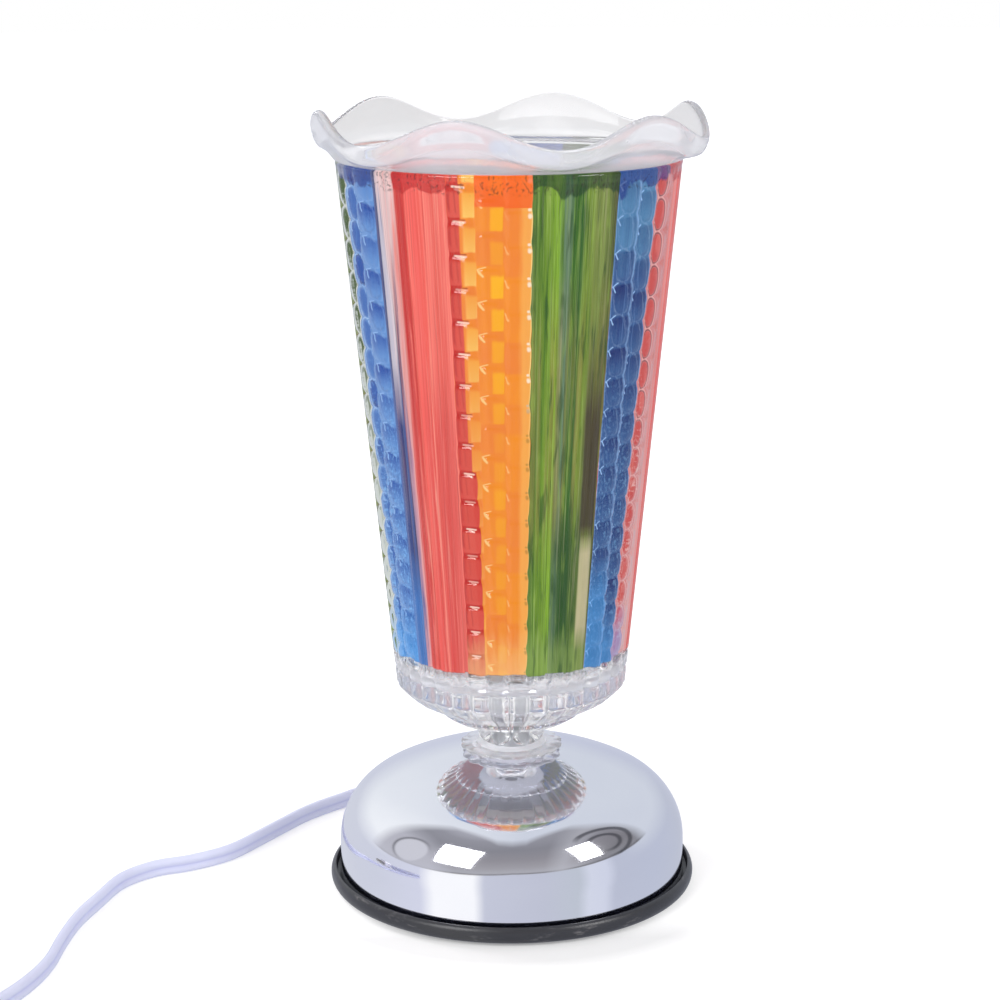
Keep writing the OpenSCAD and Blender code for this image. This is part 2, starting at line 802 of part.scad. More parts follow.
module touch_board() {
    color([0.15, 0.4, 0.2])
        translate([0, case_y, board_z]) {
            translate([-case_l / 2 + case_t + 0.5, -case_w / 2 + case_t + 0.5, 0])
                cube([case_l - 2 * case_t - 1, case_w - 2 * case_t - 1, board_t]);
            translate([-14, -4, board_t - 0.1])
                cube([9, 5, 4.1]);
            translate([-2, -5, board_t - 0.1])
                cube([7, 6, 2.1]);
            translate([13, -3, board_t - 0.1])
                cylinder(r = 2.6, h = 4.6);
        }
}

module module_tape() {
    color([0.85, 0.85, 0.8])
        translate([-case_l / 2 + 4, case_y - case_w / 2 + 4, tray_top])
            cube([case_l - 8, case_w - 8, tape_t]);
}

module touch_lead() {
    color([0.2, 0.3, 0.75]) {
        union() {
            ring(tag_z, tag_t, tube_r + 3.4, tube_r + hole_gap);
            translate([tube_r + 2, -2, tag_z])
                cube([7, 4, tag_t]);
        }
        wire(smooth([
            [tube_r + 7, 0, tag_z],
            [tube_r + 7, 0, tag_z - 3],
            [tube_r + 8, -2, (tag_z + case_top) / 2 + 2],
            [tube_r + 9, -7, case_top + 4],
            [tube_r + 9, -9, case_top + 2],
            [tube_r + 9, -9, case_top]], 3), 0.9, [1, 0.2, 0]);
    }
}

module supply_tails() {
    color([0.9, 0.9, 0.92])
        for (s = [-1, 1])
            wire(smooth([
                collar_in * exit_dir + s * tail_gap * exit_side + [0, 0, exit_z],
                (collar_in - 6) * exit_dir + s * tail_gap * exit_side + [0, 0, exit_z],
                [s * tail_gap + 5, 0.55 * collar_in, exit_z],
                [s * tail_gap, case_y + case_w / 2 + 7, exit_z],
                [s * tail_gap, case_y + case_w / 2, exit_z],
                [s * tail_gap, case_y + case_w / 2 - case_t, exit_z]], 4), 1.1, [0, 0, 1]);
}

module cord_bush() {
    color([0.86, 0.86, 0.9])
        rotate([0, 0, exit_turn])
            translate([0, 0, exit_z])
                rotate([0, 90, 0])
                    union() {
                        translate([0, 0, collar_in])
                            cylinder(r = flange_r, h = collar_out - collar_in);
                        translate([0, 0, collar_in])
                            cylinder(r = bush_r, h = flange_out - collar_in);
                        translate([0, 0, flange_in])
                            cylinder(r = flange_r, h = flange_out - flange_in);
                        translate([0, 0, flange_out])
                            cylinder(r1 = 4.2, r2 = 3.3, h = boot_end - flange_out);
                        for (k = [1:5])
                            translate([0, 0, flange_out + k * (boot_end - flange_out) / 6 - 0.7])
                                cylinder(r = 4.5 - 0.14 * k, h = 1.4);
                    }
}

module cord_lead() {
    color([0.88, 0.87, 0.93])
        flat_lead(laid, [for (s = [[0.36, 0], [0.5, 0.5], [0, 1], [-0.5, 0.5], [-0.36, 0], [-0.5, -0.5],
            [0, -1], [0.5, -0.5]]) [s[0] * cord_t, s[1] * cord_w / 2]]);
}

module cord_coil() {
    color([0.88, 0.87, 0.93])
        flat_lead(wound, [for (s = [[0.5, 0.5], [0, 1], [-0.5, 0.5], [-0.5, -0.5], [0, -1], [0.5, -0.5]])
            [s[0] * cord_t, s[1] * cord_w / 2]]);
}

module cord_tie() {
    color([0.15, 0.15, 0.16])
        translate([coil_c[0], coil_c[1], 0])
            rotate([0, 0, tie_turn])
                difference() {
                    translate([tie_in - tie_t, -tie_w / 2, 0])
                        cube([tie_out - tie_in + 2 * tie_t, tie_w, tie_h + 2 * tie_t]);
                    translate([tie_in, -tie_w, tie_t])
                        cube([tie_out - tie_in, 2 * tie_w, tie_h]);
                }
}

module plug_body() {
    color([0.88, 0.87, 0.93])
        translate([plug_at[0], plug_at[1], plug_z])
            rotate([90, 0, tail_turn + 90])
                difference() {
                    union() {
                        cylinder(r1 = 3.6, r2 = 5.2, h = plug_neck);
                        translate([-plug_w / 2, -plug_h / 2, plug_neck])
                            linear_extrude(height = plug_l)
                                polygon([[3, 0], [plug_w - 3, 0], [plug_w, 3], [plug_w, plug_h - 3],
                                    [plug_w - 3, plug_h], [3, plug_h], [0, plug_h - 3], [0, 3]]);
                    }
                    for (s = [-1, 1])
                        translate([s * blade_gap / 2 - blade_t / 2 - slip, -blade_w / 2 - slip,
                                plug_neck + plug_l - 5])
                            cube([blade_t + 2 * slip, blade_w + 2 * slip, 6]);
                }
}

module plug_blades() {
    color([0.8, 0.75, 0.5])
        translate([plug_at[0], plug_at[1], plug_z])
            rotate([90, 0, tail_turn + 90])
                for (s = [-1, 1])
                    difference() {
                        translate([s * blade_gap / 2 - blade_t / 2, -blade_w / 2, plug_neck + plug_l - 5])
                            cube([blade_t, blade_w, blade_l + 5]);
                        translate([s * blade_gap / 2 - blade_t, 0, plug_neck + plug_l + blade_l - 4.5])
                            rotate([0, 90, 0])
                                cylinder(r = 1.6, h = 2 * blade_t);
                    }
}

oil_dish();
glass_shade();
base_dome();
base_tray();
foot_pads();
cover_screws();
dome_brackets();
threaded_tube();
dome_nut();
spring_washer();
shade_gasket();
shade_seal();
clamp_washer();
clamp_nut();
holder_plate();
holder_nut();
lampholder();
holder_screws();
holder_contacts();
holder_leads();
bulb_cap();
bulb_pins();
bulb_reflector();
bulb_capsule();
bulb_lens();
module_case();
module_lid();
touch_board();
module_tape();
touch_lead();
supply_tails();
cord_bush();
cord_lead();
cord_coil();
cord_tie();
plug_body();
plug_blades();
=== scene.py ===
import math

import bpy
import numpy as np
from mathutils import Matrix, Vector


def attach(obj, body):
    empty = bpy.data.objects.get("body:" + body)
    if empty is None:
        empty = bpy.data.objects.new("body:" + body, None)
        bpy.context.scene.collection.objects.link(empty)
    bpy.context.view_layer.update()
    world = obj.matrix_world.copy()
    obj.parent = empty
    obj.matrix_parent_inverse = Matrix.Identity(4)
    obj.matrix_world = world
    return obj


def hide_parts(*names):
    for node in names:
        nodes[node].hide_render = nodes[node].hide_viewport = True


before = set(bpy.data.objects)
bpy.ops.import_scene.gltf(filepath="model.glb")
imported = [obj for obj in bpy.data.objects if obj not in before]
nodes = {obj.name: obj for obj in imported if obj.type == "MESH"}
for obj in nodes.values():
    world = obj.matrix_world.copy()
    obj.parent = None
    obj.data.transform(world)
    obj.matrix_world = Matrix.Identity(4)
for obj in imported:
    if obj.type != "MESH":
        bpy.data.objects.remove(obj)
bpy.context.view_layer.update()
scene = bpy.context.scene
scene.view_settings.view_transform = "Standard"
MM = 0.001

# Heights and radii of the lamp, in millimetres
TRAY_Z, TRAY_TOP, LIP_TOP = 0.6, 3.0, 5.8
DOME_R, DOME_T, WALL_TOP = 54.8, 1.0, 14.1
SHOULDER_AT, SHOULDER_R, SHOULDER_END = 32.6, 22.2, 63
CROWN_AT, CROWN_Z, CROWN_R = -0.678, -51.211, 95.5
LAND_R, LAND_HOLE_R, LAND_Z, LAND_UNDER = 12.5, 5.2, 43.375, 42.366
GLASS_Z, GLASS_T, HOLE_R, FLOOR_H = 44.175, 3.5, 5.6, 25.5
BAND_R, BAND_H, BAND_TOP = 36.0, 22.4, 31.8
SHADE_R, SHADE_H, RIM_Z = 52.3, 185.8, 229.975
CUP_Z, BULB_TOP = 127.675, 161.675

# Pressed pattern of the wall: in each sixth of the way round, three columns of scales and then six flutes.
# Rows of scales get shorter downwards, to nothing at a height far below the lamp.
START, REPEATS, SHARE, COLUMNS, FLUTES = -21.2, 6, 0.478, 3, 6
TICK_H, AIM_H, ROW_RATE = 172.9, -400.0, 57.0

# Camera at the height and distance from which the rims of tray, shade and dish look as they do
view = bpy.data.cameras.new("view")
view.lens = 87.9
view.sensor_width = 36.0
view.clip_start = 0.02
view.clip_end = 60.0
camera = bpy.data.objects.new("view", view)
scene.collection.objects.link(camera)
tilt = Matrix.Rotation(math.radians(90 - 13.486), 4, "X") @ Matrix.Rotation(math.radians(-0.3), 4, "Z")
camera.matrix_world = Matrix.Translation((-3.2 * MM, -738 * MM, 301 * MM)) @ tilt
scene.camera = camera


def one_way(operation, swapped=False):
    """A method that adds one Math node to the tree."""
    def method(wire, *others):
        values = (*others, wire) if swapped else (wire, *others)
        return wire.bench.maths(operation, *values)
    return method


def both_ways(operation):
    return one_way(operation), one_way(operation, True)


class Wire:
    """One socket of a node tree. Sums and products of wires add Math nodes to the tree."""

    __add__, __radd__ = both_ways("ADD")
    __sub__, __rsub__ = both_ways("SUBTRACT")
    __mul__, __rmul__ = both_ways("MULTIPLY")
    __truediv__, __rtruediv__ = both_ways("DIVIDE")
    __pow__ = one_way("POWER")
    __lt__ = one_way("LESS_THAN")
    __gt__ = one_way("GREATER_THAN")
    __abs__ = one_way("ABSOLUTE")
    fract = one_way("FRACT")
    floor = one_way("FLOOR")
    root = one_way("SQRT")
    sine = one_way("SINE")
    cosine = one_way("COSINE")
    least = one_way("MAXIMUM")
    most = one_way("MINIMUM")

    def __init__(self, bench, socket):
        self.bench = bench
        self.socket = socket

    def out(self, name):
        return Wire(self.bench, self.socket.node.outputs[name])

    def log(self):
        return self.bench.maths("LOGARITHM", self, math.e)

    def clamp(self):
        return self.least(0.0).most(1.0)

    def above(self, limit, rate):
        return ((self - limit) * rate).clamp()

    def below(self, limit, rate):
        return ((limit - self) * rate).clamp()

    def past(self, start, length):
        """Share of the way from start over a length, 0 to 1."""
        return ((self - start) / length).clamp()

    def before(self, end, length):
        return ((end - self) / length).clamp()

    def brushed(self, share, *seen, how="MIX"):
        """This colour with a share of paint over it."""
        return self.bench.blend(share, self, under_glass(*seen), how)


class Bench:
    """A node tree that is being filled."""

    def __init__(self, tree):
        self.tree = tree

    def node(self, kind, settings=None, sockets=None, out=0):
        made = self.tree.nodes.new(kind)
        for name, value in (settings or {}).items():
            setattr(made, name, value)
        for name, value in (sockets or {}).items():
            if isinstance(value, Wire):
                self.tree.links.new(value.socket, made.inputs[name])
            else:
                made.inputs[name].default_value = value
        return Wire(self, made.outputs[out]) if len(made.outputs) else None

    def maths(self, operation, *values):
        return self.node("ShaderNodeMath", {"operation": operation}, dict(enumerate(values)))

    def blend(self, share, low, high, how="MIX"):
        settings = {"data_type": "RGBA", "blend_type": how}
        return self.node("ShaderNodeMix", settings, {0: share, 6: low, 7: high}, 2)

    def ramp(self, value, stops, how="LINEAR"):
        wire = self.node("ShaderNodeValToRGB", None, {0: value})
        ramp = wire.socket.node.color_ramp
        ramp.interpolation = how
        while len(ramp.elements) > 1:
            ramp.elements.remove(ramp.elements[-1])
        ramp.elements[0].position, ramp.elements[0].color = stops[0]
        for place, colour in stops[1:]:
            ramp.elements.new(place).color = colour
        return wire

    def steps(self, value, marks):
        """A number that changes in steps as value goes from 0 to 1."""
        stops = [(i / len(marks), (m, m, m, 1)) for i, m in enumerate(marks)]
        return self.ramp(value, stops, "CONSTANT")

    def where(self):
        """The place on the piece, in metres."""
        return self.node("ShaderNodeTexCoord", out="Object")

    def split(self, vector):
        x = self.node("ShaderNodeSeparateXYZ", sockets={0: vector}, out="X")
        return x, x.out("Y"), x.out("Z")

    def place(self):
        return self.split(self.where())

    def spot(self, x, y, z):
        return self.node("ShaderNodeCombineXYZ", sockets={0: x, 1: y, 2: z})

    def grain(self, where, scale=1.0, detail=2.0, rough=0.5):
        sockets = {"Vector": where, "Scale": scale, "Detail": detail, "Roughness": rough}
        return self.node("ShaderNodeTexNoise", None, sockets, "Fac")

    def bump(self, height, strength, distance):
        sockets = {"Height": height, "Strength": strength, "Distance": distance}
        return self.node("ShaderNodeBump", None, sockets)

    def gloss(self, sockets):
        return self.node("ShaderNodeBsdfPrincipled", None, sockets, "BSDF")

    def either(self, share, low, high):
        return self.node("ShaderNodeMixShader", None, {0: share, 1: low, 2: high})

    def light(self, tone):
        """Grey light of this tone."""
        grey = self.node("ShaderNodeCombineColor", None, {0: tone, 1: tone, 2: tone})
        return self.node("ShaderNodeEmission", None, {"Color": grey})

    def surface(self, shader):
        self.node("ShaderNodeOutputMaterial", None, {"Surface": shader})


def tint(red, green, blue):
    """A colour as seen, 0 to 255, as Blender's linear colour."""
    seen = [c / 255 for c in (red, green, blue)]
    return tuple(c / 12.92 if c <= 0.04045 else ((c + 0.055) / 1.055) ** 2.4 for c in seen) + (1.0,)


def finish(name):
    material = bpy.data.materials.new(name)
    material.use_nodes = True
    material.node_tree.nodes.clear()
    return material, Bench(material.node_tree)


def plain_finish(name, colour, other, rough, grain, metal=0.0, bump=0.02, coat=0.0):
    """A finish of two close colours that drift over the piece, with a fine grain in gloss and surface."""
    material, bench = finish(name)
    where = bench.where()
    drift = bench.grain(where, grain / 9, 3.0)
    fine = bench.grain(where, grain, 3.0)
    shader = bench.gloss({
        "Base Color": bench.blend(((drift - 0.5) * 3.0 + 0.5).clamp(), tint(*colour), tint(*other)),
        "Metallic": metal,
        "Roughness": rough + (fine - 0.5) * rough * 0.5,
        "Normal": bench.bump(fine, bump, 0.0004),
        "Coat Weight": coat,
    })
    bench.surface(shader)
    return material


def glass_finish(name, colour, rough, ripple, scale, shine=1.0, milky=None, milk=tint(242, 242, 247)):
    """Clear glass with a faint ripple, milky where the given rule says.
    Rays from lamps and bounced light go straight through it."""
    material, bench = finish(name)
    where = bench.where()
    wave = bench.grain(where, scale, 1.0)
    glass = bench.gloss({
        "Base Color": colour,
        "Roughness": rough,
        "IOR": 1.5,
        "Transmission Weight": 1.0,
        "Specular Tint": (shine, shine, shine, 1),
        "Normal": bench.bump(wave, ripple, 0.0006),
    })
    if milky:
        cloud = bench.gloss({
            "Base Color": milk, "Roughness": 0.2, "Normal": bench.bump(wave, ripple, 0.0006)})
        glass = bench.either(milky(bench), glass, cloud)
    open_way = bench.node("ShaderNodeBsdfTransparent")
    path = bench.node("ShaderNodeLightPath", out="Is Shadow Ray")
    once = bench.either(path, glass, open_way)
    twice = bench.either(path.out("Is Diffuse Ray"), once, open_way)
    bench.surface(twice)
    return material


def pressed_haze(bench):
    """Share of milkiness of the pressed glass: most in the band, some in the foot, a little in the cup."""
    height = bench.place()[2] * 1000.0 - GLASS_Z
    band = height.before(BAND_TOP + 0.8, 2.0)
    return band * (0.03 + height.past(19.0, 3.0) * 0.23 + height.before(2.2, 0.6) * 0.12)


def bowl_haze(bench):
    """Share of milkiness of the dish: slow clouds, more on its outside and its floor and less on its lip."""
    x, y, z = bench.place()
    away = (x * x + y * y).root().least(0.001)
    facing = bench.node("ShaderNodeTexCoord", out="Normal")
    side_x, side_y = bench.split(facing)[:2]
    outward = ((x * side_x + y * side_y) / away * 4.0).clamp()
    cloud = bench.grain(bench.spot(x, y, z), 60.0, 3.0)
    haze = away.below(0.046, 400.0) * 0.08 + cloud * 0.14 + outward * 0.22 + 0.08
    return haze * (1.0 - away.above(0.0562, 1000.0) * 0.3)


# Shapes


def spline(points, steps):
    """Smooth line through points, with steps parts between each two."""
    points = [np.array(p, float) for p in points]
    line = []
    for i in range(len(points) - 1):
        a, b = points[max(i - 1, 0)], points[i]
        c, d = points[i + 1], points[min(i + 2, len(points) - 1)]
        for j in range(steps):
            t = j / steps
            line.append(0.5 * (2 * b + (c - a) * t + (2 * a - 5 * b + 4 * c - d) * t * t
                               + (3 * b - a - 3 * c + d) * t ** 3))
    return line + [points[-1]]


def straight(points, steps):
    """Points along straight lines, with steps parts between each two."""
    line = []
    for a, b in zip(points, points[1:]):
        for j in range(steps):
            line.append(np.array(a, float) + (np.array(b, float) - np.array(a, float)) * j / steps)
    return line + [np.array(points[-1], float)]


def arc(r, h, radius, start, end, steps):
    turn = [math.radians(start + (end - start) * i / steps) for i in range(steps + 1)]
    return [(r + radius * math.cos(a), h + radius * math.sin(a)) for a in turn]


def made(name, verts, faces, material):
    mesh = bpy.data.meshes.new(name)
    mesh.from_pydata(verts, [], faces)
    mesh.materials.append(material)
    mesh.polygons.foreach_set("use_smooth", [True] * len(mesh.polygons))
    mesh.update()
    piece = bpy.data.objects.new(name, mesh)
    scene.collection.objects.link(piece)
    return piece


def turned(name, outline, material, around=192, turns=None, marks=None):
    """Piece turned about the lamp's axis from an outline of radius and height in millimetres.
    The outline goes up the outside and down the inside; it closes on itself, or at the axis."""
    verts, rings, values = [], [], {m: [] for m in marks or {}}
    turns = turns or [360 * k / around for k in range(around)]
    around = len(turns)
    for i, (r, h) in enumerate(outline):
        start = len(verts)
        if r < 1e-6:
            verts.append((0.0, 0.0, h * MM))
            rings.append([start] * around)
        else:
            for a in map(math.radians, turns):
                verts.append((r * math.sin(a) * MM, -r * math.cos(a) * MM, h * MM))
            rings.append(list(range(start, start + around)))
        for m in values:
            values[m] += [float(marks[m][i])] * (len(verts) - start)
    faces = []
    open_ends = outline[0][0] < 1e-6 and outline[-1][0] < 1e-6
    for j in range(len(rings) - (1 if open_ends else 0)):
        low, high = rings[j], rings[(j + 1) % len(rings)]
        for k in range(around):
            q = (k + 1) % around
            face = [low[k], low[q], high[q], high[k]]
            face = [v for n, v in enumerate(face) if v != face[n - 1]]
            if len(face) > 2:
                faces.append(face)
    piece = made(name, verts, faces, material)
    for m, numbers in values.items():
        piece.data.attributes.new(m, "FLOAT", "POINT").data.foreach_set("value", numbers)
    return piece


def keep_result(piece, modifier):
    """Makes what the modifier gives the piece's plain mesh."""
    graph = bpy.context.evaluated_depsgraph_get()
    mesh = bpy.data.meshes.new_from_object(piece.evaluated_get(graph))
    piece.modifiers.remove(modifier)
    old, piece.data = piece.data, mesh
    bpy.data.meshes.remove(old)
    mesh.name = piece.name
    return mesh


def rods(piece, how, at, turns, radius, low, high, sides=48):
    """Joins upright rods to a piece, or cuts them out of it. All sizes are in millimetres and degrees."""
    verts, faces = [], []
    for turn in map(math.radians, turns):
        start = len(verts)
        for h in (low, high):
            for a in (2 * math.pi * k / sides for k in range(sides)):
                x = at * math.cos(turn) + radius * math.cos(a)
                y = at * math.sin(turn) + radius * math.sin(a)
                verts.append((x * MM, y * MM, h * MM))
        foot = list(range(start, start + sides))
        top = [v + sides for v in foot]
        faces += [foot[::-1], top] + [[foot[k - 1], foot[k], top[k], top[k - 1]] for k in range(sides)]
    tool = made("rods", verts, faces, piece.data.materials[0])
    modifier = piece.modifiers.new("rods", "BOOLEAN")
    modifier.operation = how
    modifier.solver = "EXACT"
    modifier.object = tool
    keep_result(piece, modifier)
    bpy.data.meshes.remove(tool.data)


class Rule(Bench):
    """A Geometry Nodes tree with a named input for each of its sizes."""

    def __init__(self, name, sizes):
        super().__init__(bpy.data.node_groups.new(name, "GeometryNodeTree"))
        self.sizes = sizes
        self.tree.interface.new_socket("Mesh", in_out="INPUT", socket_type="NodeSocketGeometry")
        for size in sizes:
            self.tree.interface.new_socket(size, in_out="INPUT", socket_type="NodeSocketFloat")
        self.tree.interface.new_socket("Mesh", in_out="OUTPUT", socket_type="NodeSocketGeometry")
        self.mesh = self.node("NodeGroupInput")

    def size(self, name):
        return self.mesh.out(name)

    def where(self):
        return self.node("GeometryNodeInputPosition")

    def mark(self, name):
        return self.node("GeometryNodeInputNamedAttribute", {"data_type": "FLOAT"}, {"Name": name})

    def moved(self, offset):
        return self.node("GeometryNodeSetPosition", None, {"Geometry": self.mesh, "Offset": offset})

    def give(self, piece, shape, material):
        """Runs the tree on the piece and keeps the result as its plain mesh."""
        whole = self.node("GeometryNodeRealizeInstances", None, {0: shape})
        dressed = self.node("GeometryNodeSetMaterial", None, {"Geometry": whole, "Material": material})
        self.node("NodeGroupOutput", None, {0: dressed})
        modifier = piece.modifiers.new("rule", "NODES")
        modifier.node_group = self.tree
        for item in self.tree.interface.items_tree:
            if item.item_type == "SOCKET" and item.in_out == "INPUT" and item.name in self.sizes:
                modifier[item.identifier] = float(self.sizes[item.name])
        mesh = keep_result(piece, modifier)
        mesh.polygons.foreach_set("use_smooth", [True] * len(mesh.polygons))


# Finishes


def lead_finish():
    """Pale soft plastic of the flat lead, with painted shade in the groove between its two cores."""
    material, bench = finish("pale_lead_plastic")
    where = bench.where()
    side = bench.node("ShaderNodeAttribute", {"attribute_name": "groove"}, out="Fac")
    drift = bench.grain(where, 60.0, 2.0)
    fine = bench.grain(where, 1500.0, 2.0)
    base = bench.blend(drift, tint(227, 229, 246), tint(236, 238, 250))
    shader = bench.gloss({
        # Painted shade: darker in the groove between the two cores
        "Base Color": bench.blend(side * 0.75, base, tint(176, 178, 222)),
        "Roughness": 0.34 + fine * 0.14,
        "Normal": bench.bump(fine, 0.05, 0.0002),
    })
    glow_through = bench.node("ShaderNodeBsdfTranslucent", None, {"Color": base})
    bench.surface(bench.either(0.4, shader, glow_through))
    return material


def chrome_finish():
    """Bright plating with faint wiped smears."""
    material, bench = finish("bright_chrome")
    x, y, z = bench.place()
    smear = bench.grain(bench.spot(x * 30.0, y * 30.0, z * 90.0), 1.0, 4.0)
    fine = bench.grain(bench.spot(x, y, z), 900.0, 2.0)
    shader = bench.gloss({
        "Base Color": bench.blend(smear, tint(236, 237, 246), tint(246, 247, 252)),
        "Metallic": 1.0,
        "Roughness": 0.05 + ((smear - 0.45) * 0.12).least(0.0) + fine * 0.01,
    })
    bench.surface(shader)
    return material


def tray_finish():
    """Charcoal plastic with pale scuffs along the edge of the lip, and painted shade in the gap between lip
    and dome.
    """
    material, bench = finish("scuffed_charcoal_plastic")
    x, y, z = bench.place()
    where = bench.spot(x, y, z)
    patch = bench.grain(bench.spot(x * 70.0, y * 70.0, z * 260.0), 1.0, 4.0, 0.62)
    nick = bench.grain(bench.spot(x * 330.0, y * 330.0, z * 1100.0), 1.0, 3.0)
    fine = bench.grain(where, 1700.0, 2.0)
    wear = patch.above(0.55, 9.0) * nick.above(0.46, 6.0)
    # Painted shade: dark navy in the gap between the lip and the dome
    groove = bench.maths("COMPARE", (x * x + y * y).root(), 0.0555, 0.0009)
    dark = bench.blend(patch, tint(38, 39, 43), tint(56, 56, 61))
    dark = bench.blend(groove * 0.8, dark, tint(16, 18, 34))
    shader = bench.gloss({
        "Base Color": bench.blend(wear * 0.5, dark, tint(140, 138, 138)),
        "Roughness": 0.24 + nick * 0.18 + wear * 0.2,
        "Normal": bench.bump(fine + wear, 0.10, 0.0003),
    })
    bench.surface(shader)
    return material


def under_glass(red, green, blue):
    """Paint that looks like this colour through the sheen of the glass in front of it."""
    return tuple(max(c - 0.026, 0.002) for c in tint(red, green, blue)[:3]) + (1.0,)


def stroke(u, v, start, end, half):
    """Share of a short brushed line from start to end, in millimetres on a scale cell."""
    du, dv = end[0] - start[0], end[1] - start[1]
    share = (((u - start[0]) * du + (v - start[1]) * dv) / (du * du + dv * dv)).clamp()
    off_u, off_v = u - start[0] - share * du, v - start[1] - share * dv
    return ((half - (off_u * off_u + off_v * off_v).root()) / (half * 0.6)).clamp()


def paint_finish():
    """Glass paint brushed on the inside of the shade in upright panels: orange, green, blue and red."""
    material, bench = finish("brushed_glass_paint")
    x, y, z = bench.place()
    height = z * 1000.0 - GLASS_Z
    away = (x * x + y * y).root()
    ux, uy = x / away, y / away

    def marks(sideways, upwards, detail=3.0, rough=0.5):
        """Brush marks, finer the larger the two numbers are."""
        return bench.grain(bench.spot(ux * sideways, uy * sideways, z * upwards), 1.0, detail, rough)

    def between(share, low, high):
        return bench.blend(share, under_glass(*low), under_glass(*high))

    def across_flutes(*stops):
        return bench.ramp(flute_at, [(place, under_glass(*seen)) for place, *seen in stops])

    # Brush marks of several sizes, and the place in the pattern
    broad = marks(26.0, 8.0, rough=0.6)
    fine = marks(70.0, 18.0, rough=0.7)
    dab = marks(20.0, 70.0, rough=0.6)
    grit = marks(60.0, 900.0, rough=0.6) - 0.5
    bristle = marks(150.0, 20.0, detail=2.0)
    blotch = marks(6.0, 60.0, detail=2.0)
    wobble = (marks(1.2, 40.0) - 0.5) * 1.6
    soft = (dab - 0.5) * 0.5
    turn = bench.maths("ARCTAN2", x, 0.0 - y) * (180 / math.pi)
    sixth = (turn - START) * REPEATS / 360.0
    drawn = sixth + wobble / 60.0
    number = (bench.maths("MODULO", drawn.floor() + 12.0, 6.0) + 0.5) / 6.0
    odd = bench.steps(number, [0, 1, 0, 1, 0, 1])
    left_one = bench.steps(number, [0, 0, 0, 0, 0, 1])
    right_one = bench.steps(number, [0, 1, 0, 0, 0, 0])
    part = drawn.fract()
    fluted = part > SHARE
    brush = (broad - 0.5) * 0.16 + (fine - 0.5) * 0.12
    flute_at = ((part - SHARE) / (1 - SHARE) + brush).clamp()

    # Scale cells, as pressed in the outside of the glass
    column = sixth.fract() / SHARE * COLUMNS
    across = column.fract() * 2.0 - 1.0
    nearest = column.floor()
    row = ((height - AIM_H) / (TICK_H - AIM_H)).log() * ROW_RATE + nearest / 3.0
    along = row.fract() * 2.0 - 1.0
    u, v = across * 3.6, along * 4.8
    strong = ((height - 92.0 + soft * 30.0) / 45.0).clamp() * 0.6 + 0.4
    cell_number = bench.spot(nearest, row.floor(), sixth.floor())
    chance = bench.node("ShaderNodeTexWhiteNoise", None, {"Vector": cell_number}, "Value")
    first, second = nearest < 0.5, abs(nearest - 1.0) < 0.1
    third = 1.0 - (first + second).clamp()

    # Orange panel: red and cream in its first column, orange with yellow blocks in the next two
    cell = ((0.62 - along + soft * 0.3) * 6.0).clamp() * ((along + 0.92 + soft * 0.3) * 8.0).clamp()
    cream = first * ((across - 0.02 + soft * 0.5) * 6.0).clamp() * cell * strong
    short = ((0.50 - along + soft * 0.5) * 5.0).clamp() * ((along + 1.0 + soft * 0.3) * 8.0).clamp()
    yellow = second * ((across + 0.06 + soft * 0.6) * 5.0).clamp() * across.below(0.98, 10.0)
    yellow = yellow * short * strong
    reach = (1.0 - ((row.floor() + 9.6) / 3.0).clamp()) * 0.72 + (chance - 0.5) * 0.24
    red_half = first * ((reach - 0.06 - across + soft * 0.3) * 12.0).clamp()
    amber = third * ((across - 0.02 + soft) * 2.5).clamp()
    orange = between((chance * 0.5 + soft * 1.4 + 0.3).clamp(), (240, 128, 66), (249, 154, 42))
    orange = orange.brushed(amber * 0.75, 251, 180, 90)
    orange = orange.brushed(yellow * (0.35 + chance * 0.6), 255, 188, 44)
    cream_tone = between((0.45 - along * 0.6).clamp(), (252, 176, 74), (255, 216, 116))
    orange = bench.blend(cream * (0.5 + chance * 0.45), orange, cream_tone)
    brick = between(cell * (0.5 + chance * 0.4), (204, 54, 48), (232, 98, 84))
    orange = bench.blend(red_half, orange, brick)
    outline = abs(across + 0.80 + along * along * -0.12).below(0.09, 16.0) * abs(along).below(0.62, 4.0)
    outline = outline.least(stroke(u, v, (-2.9, 3.9), (-1.7, 4.5), 0.4))
    outline = outline.least(stroke(u, v, (-1.6, 3.1), (-1.3, -2.6), 0.3) * 0.7)
    orange = orange.brushed(first * outline * (0.3 + chance * 0.4), 174, 44, 40)
    # Painted light: paler near the foot, where light comes in through the clear band
    orange = orange.brushed(((48.0 - height + soft * 40.0) / 12.0).clamp() * 0.4, 255, 216, 150)
    seam = third * across.above(0.90, 16.0)
    orange = orange.brushed(seam * (0.3 + height.past(100.0, 30.0) * 0.6), 254, 222, 140)
